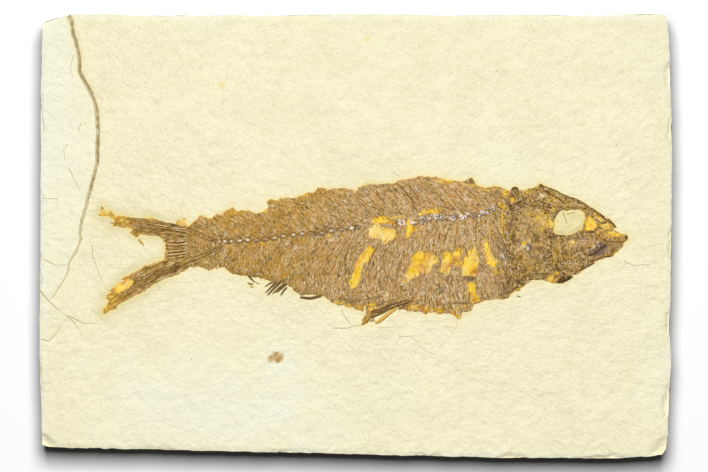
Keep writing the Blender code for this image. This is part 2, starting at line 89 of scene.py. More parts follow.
TAIL_TOP: Points = (
    (-60.7, 5.3), (-60.5, 6), (-60.1, 6.9), (-59.7, 6.3), (-59, 5.4), (-58.2, 5.9), (-57.5, 5.4), (-57, 4.7),
    (-56, 4.75), (-54.9, 4.7), (-53.4, 4.25), (-52, 3.9), (-50.3, 3.5), (-49.9, 4.3), (-49, 4.4), (-47.9, 4),
    (-47, 3.7), (-45.6, 3.1), (-44.4, 2.7), (-43, 2.2), (-42.3, 2.3), (-42.7, 3), (-42.2, 4.1), (-41.2, 3.9),
    (-40.3, 4.2), (-39.9, 2.9),
)
BACK: Points = (
    (-39.5, 2.3), (-38.5, 3.3), (-37.5, 4.4), (-36.7, 4.9), (-35.5, 4.6), (-34.1, 4.2), (-33.3, 5.1),
    (-31.5, 5.4), (-30.5, 6.2), (-29.3, 6.6), (-28.1, 6), (-26.5, 6.1), (-25.8, 6.4), (-25, 5.8),
    (-23.8, 5.4), (-22.5, 5.5), (-21.5, 6.3), (-20.7, 6.7), (-20.8, 8.3), (-20, 8.6), (-18.1, 8.4),
    (-17.8, 8.9), (-16.5, 9.2), (-15, 9), (-13.5, 9.3), (-12.5, 9.7), (-12, 10.3), (-10, 10.3), (-9.2, 10.9),
    (-9, 11.4), (-7.5, 11.3), (-6.5, 11), (-5, 11.3), (-4, 11.1), (-3.1, 11.8), (-2, 11.3), (-1, 11),
    (0, 10.9), (0.6, 11.5), (2, 12.1), (3, 12.5), (4.6, 12.2), (6, 12.4), (8, 12.3), (9.5, 12.6), (10, 13.3),
    (11.5, 13.5), (13, 13.7), (14, 14), (16, 14.3), (18, 14.1), (20, 13.8), (22, 13.4), (24, 13.2),
    (25.8, 12.8), (26.4, 13.6), (27.4, 13.9), (28.2, 13.2), (28.6, 12.3), (30, 11.7), (31, 11.5),
    (32.5, 11.9), (34, 11.7), (35, 11.3), (36.3, 10.8), (36.9, 11.6), (37.7, 11.9), (38.4, 11.5),
    (38.6, 10.9), (40, 10.9), (41.5, 11.2), (43, 12), (43.6, 12.4),
)
HEAD_TOP: Points = (
    (45, 11.8), (47, 10.7), (49, 9.8), (51, 9.2), (53, 8.3), (55, 7.2), (56.5, 6.3), (58, 5), (59.2, 4.3),
    (60, 4.1), (60.8, 3.3), (61.7, 2.4), (61.1, 1.9), (61.8, 0.9), (63.3, 0.45), (64.1, 0.35), (64.5, -0.4),
    (64.3, -1.1),
)
HEAD_UNDER: Points = (
    (63.5, -1.4), (62.8, -2.4), (62, -3.5), (61.3, -4), (60.2, -5), (59.5, -4.8), (58, -5.3), (56.5, -6.1),
    (55, -7.3), (53.5, -8.2), (52, -8.9), (51.1, -8.8), (51.5, -9.7), (50.5, -10.3), (49, -11),
    (47.8, -11.2), (46.4, -11), (45.3, -10.6), (44, -10.1), (42.5, -10.3), (41, -10.5),
)
BELLY: Points = (
    (40, -11.3), (38.5, -12.7), (37.2, -13.4), (36, -14.3), (35, -14.9), (33.5, -14.6), (32, -14.9),
    (30, -15.5), (28, -15.9), (27.5, -16.2), (27.4, -17.3), (26.6, -17.8), (25.3, -17.9), (24.6, -19.4),
    (23.6, -19.2), (23, -18.4), (22, -17.9), (20.5, -18), (19.6, -18.4), (18.4, -17.8), (17.2, -18.1),
    (16.6, -18.4), (16, -17.7), (14, -17.7), (12, -17.7), (11.6, -17.1), (10.2, -17.4), (9.9, -16.3),
    (8.6, -16.9), (6.8, -17.8), (5.2, -18.5), (4.2, -19.1), (4.6, -20.1), (4, -20.6), (3.4, -20.1),
    (2.6, -20.8), (1.3, -20.9), (2, -19.4), (2.5, -18.2), (2.8, -16.8), (2.2, -16.3), (1.7, -17.7),
    (0.9, -17.4), (0.1, -17.2), (-0.3, -16.7), (-2, -16.7), (-3.5, -16.2), (-5, -16), (-6, -15.2),
    (-7, -14.4), (-8, -13.9), (-10, -13.9), (-12, -13.9), (-13, -14), (-13.8, -13.4), (-14.8, -12.8),
    (-15.3, -12), (-16.2, -11.3), (-18.2, -10.9), (-19.8, -10.7), (-21.3, -10.3), (-22, -9.9), (-24, -9.7),
    (-25.5, -9.3), (-28, -9.2), (-29, -9), (-29.7, -8.6), (-30.3, -8.1), (-31, -7.3), (-32, -7.1),
    (-33, -7.3), (-34.5, -7.8), (-36, -7.3), (-38, -7.2), (-39.2, -7.3),
)
TAIL_UNDER: Points = (
    (-40.5, -8), (-42, -8.8), (-43.2, -9.5), (-45, -9.8), (-46.5, -10.5), (-48, -11.3), (-50, -12.8),
    (-52, -13.9), (-54, -14.9), (-56, -16), (-57, -17), (-58.5, -17.7), (-60, -18.3), (-59.9, -17.5),
    (-59, -16.7), (-58.2, -15.6), (-59.2, -14.4), (-58.3, -13.6), (-57.6, -12.4), (-56.4, -11.6),
    (-54.9, -10.6), (-54.8, -9.9), (-54, -9.4), (-52.2, -8.5), (-51, -7.8), (-50, -7.2), (-48, -6.5),
    (-46.5, -5.9), (-45.1, -5.4), (-45.3, -4.5), (-45.1, -3.5), (-45, -2.3), (-45, -1.5), (-45.5, -0.6),
    (-46.5, -0.1), (-48, 0.2), (-50, 0.5), (-51, 0.5), (-51.7, 0.1), (-52.5, 0.3), (-53.2, 0.9),
    (-52.6, 1.7), (-54, 2.1), (-56, 2.5), (-57.7, 2.4), (-56.9, 3.2), (-57.2, 4.3), (-58.4, 4.9),
    (-59.6, 4.8),
)
FILM: Points = (*TAIL_TOP, *BACK, *HEAD_TOP, *HEAD_UNDER, *BELLY, *TAIL_UNDER)

ORBIT: Points = (
    (46.6, 1.2), (46.8, 3), (47.3, 4.5), (47.7, 5.6), (48.6, 6.3), (50, 6.3), (51.5, 6.6), (53, 6.5),
    (54.1, 5.7), (54.5, 4.5), (54.1, 3), (53.5, 1.8), (52.3, 1), (50.8, 0.4), (49, 0.2), (47.5, 0.5),
)

# Flaked windows in the flank: outline, and how far the stain is from orange (0) to cream (1).
WINDOWS: Sequence[tuple[Points, float]] = (
    (((3.2, -2), (4.6, -3.4), (3.5, -5), (1.8, -6.2), (1.1, -9.2), (0.4, -11.7), (-0.9, -12.5),
      (-1.5, -11.6), (-0.9, -9), (0, -6.5), (1.3, -4.2), (2.3, -2.9)), 0.25),
    (((12.5, -10.4), (11.5, -9.3), (11.8, -8.6), (12.7, -6.9), (13.4, -4.8), (14.8, -3.5), (16.2, -3.8),
      (18.3, -3.6), (19.7, -5.9), (18.1, -7.2), (17.8, -8.6), (15.5, -8.6), (14.2, -9.9)), 0.3),
    (((20.1, -8.2), (20.2, -5.4), (20.8, -3.8), (22.4, -3.6), (22.7, -5), (22.5, -8.2), (21.4, -8.7)), 0.35),
    (((23.2, -6.8), (23, -3.6), (23.8, -2.7), (24.8, -3), (24.8, -6.6), (24, -7.1)), 0.3),
    (((25, -9.3), (25.1, -6.2), (25.9, -4.8), (26.4, -3.7), (27.3, -3.3), (27.9, -1.9), (28.8, -2.1),
      (29.1, -5), (28.8, -7.2), (28.6, -9.3)), 0.35),
    (((30.2, -0.5), (31.5, -1.5), (31.7, -3.5), (32.3, -5), (33.3, -6), (33.1, -7.2), (32, -7.6),
      (31.1, -6.5), (30.6, -5), (30.3, -3)), 0.2),
    (((26.3, -11), (28, -11.2), (28.5, -13), (29, -14.2), (29, -15.3), (27.6, -15.8), (26.7, -13.5)), 0.15),
    (((3.3, 2.6), (5, 2.9), (6.4, 2.3), (6.7, -1.7), (5.6, -0.7), (4.4, -0.6), (3.1, -0.1),
      (2.9, 1.3)), 0.95),
    (((6.3, 2.3), (8.1, 2.1), (9.4, 1.2), (9.2, 0.1), (8.2, -1.1), (6.7, -1.7), (6.2, -1.2)), 0.5),
    (((3.7, 3.4), (4.4, 4.3), (6.2, 4.6), (7.4, 3.8), (9.4, 3.4), (9.5, 2.7), (7.2, 3.1), (5.2, 3.2)), 0),
    (((11.4, -0.3), (11.7, 1.3), (12, 2.5), (12.2, 4.6), (13.3, 4.6), (13.9, 2.3), (14.3, 1.3),
      (13.4, 0.8), (12.9, -0.6)), 0.1), (((9.9, 3), (10.1, 3.9), (11.3, 4.2), (11.2, 3.2)), 0),
    (((14.8, 5.2), (15.6, 6), (18, 6.4), (20.2, 6.3), (19.8, 5.5), (17.2, 5.3)), 0),
    (((-57.6, -12.1), (-55.6, -10.6), (-54.2, -9.8), (-52.6, -10.4), (-53, -11.7), (-55, -12.9),
      (-56.8, -13.3)), 0.6),
    (((54.3, 2), (54.9, 3.4), (55.2, 4.7), (56.2, 4.4), (56.9, 2.9), (56.6, 1.5), (55.2, 1.2)), 0.3),
    (((59.6, 1.3), (60.9, 0.9), (62.8, 0.1), (63.5, -0.4), (61.9, -0.6), (60, -0.1)), 0),
    (((34.8, 9.8), (35.6, 10.8), (36.4, 10.3), (35.9, 9.4)), 0.4),
    (((-42.2, 2.3), (-42.2, 3.4), (-41.3, 3.9), (-40.1, 3.7), (-39.9, 2.6), (-41, 2.1)), 0.6),
    (((-61, 5.2), (-60.4, 6.4), (-59.3, 6.2), (-58.4, 5.4), (-59.5, 4.7)), 0.5),
)

BACKBONE: Points = (
    (-36.5, -2.2), (-34, -1.8), (-32.3, -1.3), (-29.5, -1.2), (-25.6, -0.9), (-21.5, -0.7), (-19.2, -0.4),
    (-17.2, 0.1), (-14.8, 0.3), (-12.7, 0.6), (-8, 0.7), (-5.8, 1.3), (-3.4, 1.5), (-1, 1.9), (0.8, 2.1),
    (4, 2.4), (7.5, 2.5), (11, 3.2), (15.5, 4), (21.5, 4.5), (25.5, 4.7), (28, 5.1), (30.5, 5.6), (34, 6.5),
    (37, 7.3),
)
CRACK: Sequence[tuple[float, float, float]] = (
    (-68.3, 52.5, 0.95), (-67.4, 51.2, 0.95), (-66.8, 47.6, 0.85), (-65.7, 44, 0.8), (-65.4, 41.5, 0.75),
    (-65.4, 38.9, 0.8), (-63.6, 35.7, 0.75), (-62, 32.4, 0.75), (-61.4, 29.9, 0.8), (-61, 25.1, 0.75),
    (-61.2, 19.7, 0.75), (-61.2, 17.5, 0.7), (-62.3, 13.2, 0.7), (-63.2, 9.9, 0.65), (-63.9, 7, 0.6),
    (-64.8, 4.1, 0.55), (-65.3, 0.85, 0.5), (-65.1, -0.4, 0.5), (-66.1, -3.1, 0.45), (-67.9, -6.4, 0.42),
    (-68.1, -8.2, 0.4), (-69.4, -10.7, 0.36), (-70.8, -12.9, 0.32), (-72.3, -14.9, 0.24),
)

# Rusty dots on the stone's face: middle, half size and strength.
RUST_DOTS: Sequence[Box] = (
    (-31.7, 35.8, 1.2, 0.5), (2.6, 46.5, 1.3, 0.45), (54.2, 3, 1.2, 0.5), (-20, -12.4, 4.6, 0.3),
    (40, 32, 1.2, 0.25),
)

# Fine cracks on the stone's face: route and width.
HAIRLINES: Sequence[tuple[Points, float]] = (
    (((-74.6, -12.9), (-72.6, -15.3), (-70.5, -17.2), (-68.4, -18.9), (-66.5, -20.5), (-64.6, -23.6)), 0.22),
    (((-68.4, -18.6), (-66, -19.8), (-63.9, -20.7), (-61, -20.5)), 0.18),
    (((-74.3, -24.3), (-72.6, -24.8), (-71.2, -23.1), (-69.8, -21.2)), 0.18),
    (((-62.5, -2.1), (-62.2, -4.9), (-61, -8.2), (-60.3, -10.3)), 0.15),
    (((-67.9, 16.2), (-66.6, 13.4), (-65.3, 11)), 0.15), (((-73.8, -5.4), (-70.7, -7), (-68.6, -6.6)), 0.15),
    (((-5.6, -21.7), (-1.8, -21.7), (0, -21), (1.5, -21)), 0.16),
    (((-3.3, -17.4), (-2.6, -19.1), (-1.4, -20.5)), 0.16), (((6, -21.5), (8.8, -21.5)), 0.1),
    (((10.2, -23.8), (13.3, -23.6), (15.9, -26.7), (19, -28.1)), 0.11),
    (((20.9, -21.2), (23.7, -21.9), (24, -19.6)), 0.1),
    (((63.5, -5.8), (65.9, -7), (68, -6.6), (69.6, -6.6)), 0.15),
    (((9, 15.3), (9.6, 14.6), (10.4, 14.1)), 0.12), (((-65, 26.9), (-65.5, 25.4), (-65.8, 23.7)), 0.13),
    (((-68.2, 21.9), (-69.2, 20.4), (-68.8, 17.8)), 0.12), (((-74.2, 9.1), (-70.3, 8.9)), 0.11),
    (((-66.8, 43), (-67.6, 40), (-67, 37.5)), 0.13),
)
# Splinters of fin ray and rib that lie on the stone past the film's edge: route, width, and darkness.
SPLINTERS: Sequence[tuple[Points, float, float]] = (
    (((-19.2, -10.6), (-20.4, -11.2), (-21.5, -12)), 0.26, 0.8),
    (((-18.7, -10.9), (-19.5, -11.5), (-21.3, -13.3)), 0.36, 0.95),
    (((-17.9, -11), (-19.3, -12.2), (-20.9, -14)), 0.38, 0.9),
    (((-16.9, -11.2), (-18, -12), (-19.7, -13.6)), 0.34, 0.8),
    (((-16.3, -11.2), (-17, -11.8), (-18.8, -13.3)), 0.36, 0.95),
    (((-16.2, -12), (-17, -12.8), (-17.8, -14)), 0.34, 0.9),
    (((-16, -9.9), (-17.6, -10.6), (-19, -11.2)), 0.3, 0.7),
    (((-25.5, -9.4), (-24.7, -10.1), (-23.8, -10.9)), 0.32, 0.8),
    (((-25.6, -10.9), (-24.9, -11.3), (-24.2, -11.2)), 0.34, 0.3),
    (((-25, -11.8), (-24.2, -12)), 0.34, 0.25), (((-23.5, -10.9), (-22.8, -11.3)), 0.3, 0.3),
    (((-57, -12.3), (-58.4, -12.9)), 0.16, -0.2), (((-57.6, -13.2), (-59, -14.1)), 0.18, -0.2),
    (((-54.4, -9.9), (-55.4, -10.3)), 0.16, 0), (((-51.2, -8.1), (-52.3, -8.5)), 0.16, 0.1),
    (((-58.2, 3.3), (-57, 3.2)), 0.2, 0.1),
    (((-13.2, -14.4), (-11, -14.7), (-9.2, -14.4), (-8, -14)), 0.5, 0.9),
    (((9.7, -16.9), (7.4, -18.6), (5.4, -20.2), (4.6, -20.5)), 0.62, -0.4),
    (((8.8, -16.7), (6.4, -18), (4.2, -18.9), (2.4, -19.2)), 0.4, 0.8),
    (((8.2, -16.6), (6, -17.5), (4, -18.1), (2.8, -18.2)), 0.4, 0.75),
    (((3.4, -17.6), (2.8, -19.4), (1.5, -20.8)), 0.7, 0.2), (((38.2, -14.1), (39, -14.4)), 0.4, 0.6),
    (((-51.4, -0.6), (-50.9, -1.3), (-50.4, -1.7)), 0.42, -0.2), (((-50.6, -1.5), (-50.1, -2.3)), 0.4, -0.1),
    (((-60.2, 6.9), (-59.8, 6.6)), 0.34, 1),
)
# Dark seams between the bones of the head and shoulder, and strokes along the belly.
SEAMS: Sequence[tuple[Points, float, float]] = (
    (((43.5, 12.3), (45, 11.7), (47, 10.9), (49, 9.9), (51, 9.1), (53, 8.3), (55, 7.1), (56.5, 6.2),
      (58, 4.9), (59, 4.1), (60, 3.8)), 0.26, 0.6),
    (((43.6, 12.1), (44.4, 11.2), (45.4, 10.4), (46.6, 9.7), (48, 9), (48.8, 8.3), (49.4, 7.6)), 0.32, 0.85),
    (((46, -0.3), (47.5, -0.1), (49.3, 0), (50.8, 0), (52, 0.5), (53.5, 0.9), (55, 1)), 0.22, 0.6),
    (((55.6, 1.4), (57, 0.5), (58.3, -0.6), (59.6, -1.2), (61.5, -1.3), (63.6, -1.2)), 0.2, 0.5),
    (((55.2, -4.6), (56.6, -4.1), (58, -3), (59.2, -2.1)), 0.5, 0.8),
    (((60.6, -2.2), (62, -2.6), (63, -2.2)), 0.2, 0.5), (((60.2, -3.2), (61.3, -3.6)), 0.25, 0.7),
    (((55.5, -6), (58, -5.1), (60.5, -4.6)), 0.25, 0.7),
    (((52.5, -8.3), (54.5, -7.3), (56.5, -6.2)), 0.3, 0.6),
    (((56.2, 5.9), (57.6, 5.5), (58.9, 4.5)), 0.24, 0.8),
    (((56.8, 4.2), (58, 3.2), (59.4, 3.4), (60, 4)), 0.25, 0.7),
    (((59.9, 3.5), (60.9, 2.9), (61.6, 2.1)), 0.28, 0.85), (((57, 2.2), (58.4, 1.9), (59.6, 2.4)), 0.2, 0.5),
    (((33.4, 1.6), (34.2, 0.2), (35, -1.6), (35.9, -3.2), (36.4, -4.2)), 0.24, 0.6),
    (((36.4, 7.3), (38, 7.8), (39.6, 8.6), (40.5, 9.4)), 0.32, 0.7),
    (((48.9, 6.1), (49.4, 4.8), (50, 3)), 0.1, 0.4), (((50, 5.2), (51, 5.5), (51.9, 5.8)), 0.08, 0.2),
    (((37.2, 0.8), (37.2, -0.8), (37.6, -2)), 0.4, 0.4),
    (((47.9, -10.8), (49.4, -10.5), (50.8, -9.7)), 0.5, 0.95),
    (((42, -8.8), (44.5, -8.9), (46, -8.6)), 0.28, 0.55), (((37.1, 11.5), (38.2, 11.4)), 0.45, 0.6),
    (((36.8, 9.9), (37.2, 9.6)), 0.4, 0.7), (((47, -7.5), (49.5, -7.7), (51.5, -7.3)), 0.2, 0.45),
    (((35.8, -13.6), (37.8, -12.3), (39.8, -11.2)), 0.25, 0.6),
    (((38, 6.3), (39.6, 6.9), (40.8, 7.9)), 0.24, 0.5), (((41.9, -6), (42.7, -6.9)), 0.24, 0.6),
    (((44, -4.6), (45.6, -5.6), (46.8, -5.6)), 0.22, 0.4),
    (((38.3, 3.6), (38.9, 2), (38.7, 0.4)), 0.24, 0.4), (((43.4, 7.4), (44.9, 7), (46.4, 6.9)), 0.22, 0.45),
    (((-4, -14.5), (-1.5, -14.1), (0.5, -14)), 0.2, 0.35),
    (((-3.4, -15.3), (-1.4, -14.9), (0.3, -14.6)), 0.2, 0.3),
    (((-2.2, -15.8), (2, -15), (6.4, -14.2)), 0.2, 0.4),
    (((3.6, -17.9), (6.4, -16.9), (9.4, -15.9), (12.6, -15)), 0.34, 0.6),
    (((5.2, -18.1), (8, -17.2), (10.2, -16.4), (13.4, -15.2)), 0.4, 0.75),
    (((2.4, -17), (5, -16.3), (8, -15.2), (9.6, -14.7)), 0.22, 0.4),
)


@dataclass(frozen=True)
class Bone:
    """One raised bone of the skull or shoulder.

    Args:
        outline: its edge.
        rise: its height over the film, in millimetres.
        dark: how dark it is, 0 to 1.
        ochre: how golden it is, 0 to 1.
    """

    outline: Points
    rise: float
    dark: float
    ochre: float


SKULL: Sequence[Bone] = (
    Bone(((43.5, 12.2), (45, 11.6), (47, 10.5), (49, 9.6), (51, 9), (53, 8.1), (55, 7), (56.5, 6),
      (58, 4.8), (59, 3.9), (58.2, 3.4), (56.6, 4.6), (55.2, 5.4), (54.6, 6.4), (53, 7.1), (51, 7.2),
      (49.4, 7.1), (48, 8.4), (45.6, 9.8), (43.4, 9.4)), 0.55, 0.45, 0.45),
    Bone(((39, 6.9), (41.4, 7.8), (43.6, 6.9), (45.2, 4.8), (45.9, 1.8), (45.4, -3), (43.4, -6.8),
      (40.4, -8.8), (38.5, -7), (37.2, -3.4), (36.8, 1), (37.4, 4.8)), 0.6, 0.75, 0.38),
    Bone(((46.3, -0.7), (48, -0.9), (50, -0.7), (52, -0.3), (54, 0.1), (57, 0.4), (59.2, -0.4),
      (57.4, -2.2), (54, -3.1), (50, -4.4), (47, -4.8), (46, -2.6)), 0.5, 0.45, 0.65),
    Bone(((50, -6.4), (52.4, -5.8), (54.6, -4.9), (57, -3.3), (59.2, -2.1), (63.2, -1.2), (61.6, -3.4),
      (59.8, -4.2), (57.6, -4.9), (55.8, -5.9), (54, -7.2), (51.6, -8.3), (50.2, -7.9)), 0.5, 0.55, 0.45),
    Bone(((58.4, 2.9), (60, 2.9), (60.9, 1.5), (62, 0.6), (63.9, 0.1), (64.2, -0.5), (62, -0.9),
      (60, -0.3), (57.8, 1.2)), 0.5, 0.35, 0.8),
    Bone(((45.6, -9.9), (47.8, -9.6), (50.6, -9.4), (49.6, -10.3), (47.8, -10.9),
      (46, -10.6)), 0.4, 0.6, 0.7),
    Bone(((33.9, 1.6), (34.7, 1.4), (36.2, -3.4), (37, -7.2), (35.8, -7.4), (34.9, -5),
      (34.3, -1.6)), 0.5, 0.5, 0.3),
    Bone(((36.4, 7.4), (37.4, 6.9), (39.2, 7.8), (41.2, 9.3), (40.4, 10.2), (37.6, 9)), 0.5, 0.6, 0.3),
    Bone(((46.4, -5.6), (50, -5.2), (53.6, -4.1), (53, -4.9), (49.6, -6.2), (46.6, -7)), 0.42, 0.3, 0.6),
    Bone(((41.2, -7.8), (43.6, -7.4), (46, -8.2), (45.2, -9.8), (42.6, -9.7)), 0.4, 0.4, 0.55),
)


# Drawing by formula.


def srgb(red: float, green: float, blue: float) -> tuple[float, float, float, float]:
    """A colour given in 0 to 255 display values, as linear values.

    Args:
        red, green, blue: display values, 0 to 255.

    Returns:
        The linear colour with an alpha of 1.
    """
    linear = [((value / 255 + 0.055) / 1.055) ** 2.4 for value in (red, green, blue)]
    return (linear[0], linear[1], linear[2], 1.0)


def ease(low: float, high: float, value: Array) -> Array:
    """A smooth step from 0 at low to 1 at high.

    Args:
        low, high: where the step starts and ends.
        value: what is stepped.

    Returns:
        The step's height at each value.
    """
    t = np.clip((value - low) / (high - low), 0.0, 1.0)
    return t * t * (3.0 - 2.0 * t)


def segment_distance(x: Array, y: Array, start: Point, end: Point) -> tuple[Array, Array]:
    """How far points are from a straight stretch.

    Args:
        x, y: the points.
        start, end: the stretch's ends.

    Returns:
        The distances, and each nearest point's share of the way along.
    """
    across, up = end[0] - start[0], end[1] - start[1]
    reach = across * across + up * up + 1e-12
    share = np.clip(((x - start[0]) * across + (y - start[1]) * up) / reach, 0.0, 1.0)
    return np.hypot(x - start[0] - share * across, y - start[1] - share * up), share


def line_distance(points: Points, x: Array, y: Array) -> Array:
    """The distance from an open line.

    Args:
        points: the line's corners.
        x, y: where to measure.

    Returns:
        The distances.
    """
    nearest = np.full(np.shape(x), np.inf)
    for start, end in zip(points, points[1:]):
        nearest = np.minimum(nearest, segment_distance(x, y, start, end)[0])
    return nearest


def outline_distance(points: Points, x: Array, y: Array) -> Array:
    """The distance from a closed outline.

    Args:
        points: the outline's corners.
        x, y: where to measure.

    Returns:
        The distances, negative inside.
    """
    inside = np.zeros(np.shape(x), bool)
    closed = [*points, points[0]]
    for (x0, y0), (x1, y1) in zip(closed, closed[1:]):
        if y0 == y1:
            continue
        crosses = (y0 > y) != (y1 > y)
        inside ^= crosses & (x < x0 + (y - y0) * (x1 - x0) / (y1 - y0))
    away = line_distance(closed, x, y)
    return np.where(inside, -away, away)


def height_on(points: Points, x: Array) -> Array:
    """The height of a line drawn from left to right, at x."""
    drawn = np.array(points)
    return np.interp(x, drawn[:, 0], drawn[:, 1])


def travelled(drawn: Array) -> Array:
    """How far along a drawn line each of its points is."""
    return np.concatenate([[0.0], np.cumsum(np.hypot(*np.diff(drawn[:, :2], axis=0).T))])


class Grain:
    """Smooth random relief that is the same on every run."""

    SIDE = 128

    def __init__(self, seed: int) -> None:
        """Fills the lattice.

        Args:
            seed: which relief it is.
        """
        self.lattice = np.random.default_rng(seed).uniform(-1.0, 1.0, (self.SIDE, self.SIDE))

    def at(self, x: Array, y: Array, size: float) -> Array:
        """The relief with lumps of one size.

        Args:
            x, y: where, in millimetres.
            size: the lumps' size in millimetres.

        Returns:
            Heights from -1 to 1.
        """
        u, v = np.asarray(x) / size, np.asarray(y) / size
        column, row = np.floor(u).astype(int), np.floor(v).astype(int)
        s, t = ease(0.0, 1.0, u - column), ease(0.0, 1.0, v - row)
        left, right = column % self.SIDE, (column + 1) % self.SIDE
        low, high = row % self.SIDE, (row + 1) % self.SIDE
        grid = self.lattice
        below = grid[low, left] * (1 - s) + grid[low, right] * s
        above = grid[high, left] * (1 - s) + grid[high, right] * s
        return below * (1 - t) + above * t

    def layered(self, x: Array, y: Array, size: float, layers: int) -> Array:
        """The relief with finer lumps laid on coarse ones.

        Args:
            x, y: where, in millimetres.
            size: the coarsest lumps' size.
            layers: how many sizes, each half of the one before.

        Returns:
            Heights of roughly -1 to 1.
        """
        total = np.zeros(np.shape(x))
        for layer in range(layers):
            shift = 17.3 * layer
            total = total + self.at(x + shift, y - shift, size / 2**layer) / 2**layer
        return total / 1.5


class Stain(Enum):
    """What a painted mark does to the fossil's skin."""

    DARK = "dark"
    PALE = "pale"
    AMBER = "amber"
    COOL = "cool"
    OCHRE = "ochre"


@dataclass(frozen=True)
class Mark:
    """One oval mark on the fossil.

    Args:
        x, y: its middle.
        length, width: its half sizes.
        turn: its direction in degrees.
        strength: how strong it is, 0 to 1.
    """

    x: float
    y: float
    length: float
    width: float
    turn: float
    strength: float

    def share(self, x: Array, y: Array, rough: Array) -> Array:
        """How strongly the mark shows at each point, with its edge roughened."""
        angle = math.radians(self.turn)
        along = (x - self.x) * math.cos(angle) + (y - self.y) * math.sin(angle)
        across = (y - self.y) * math.cos(angle) - (x - self.x) * math.sin(angle)
        away = np.hypot(along / self.length, across / self.width) + rough
        return self.strength * ease(1.15, 0.55, away)


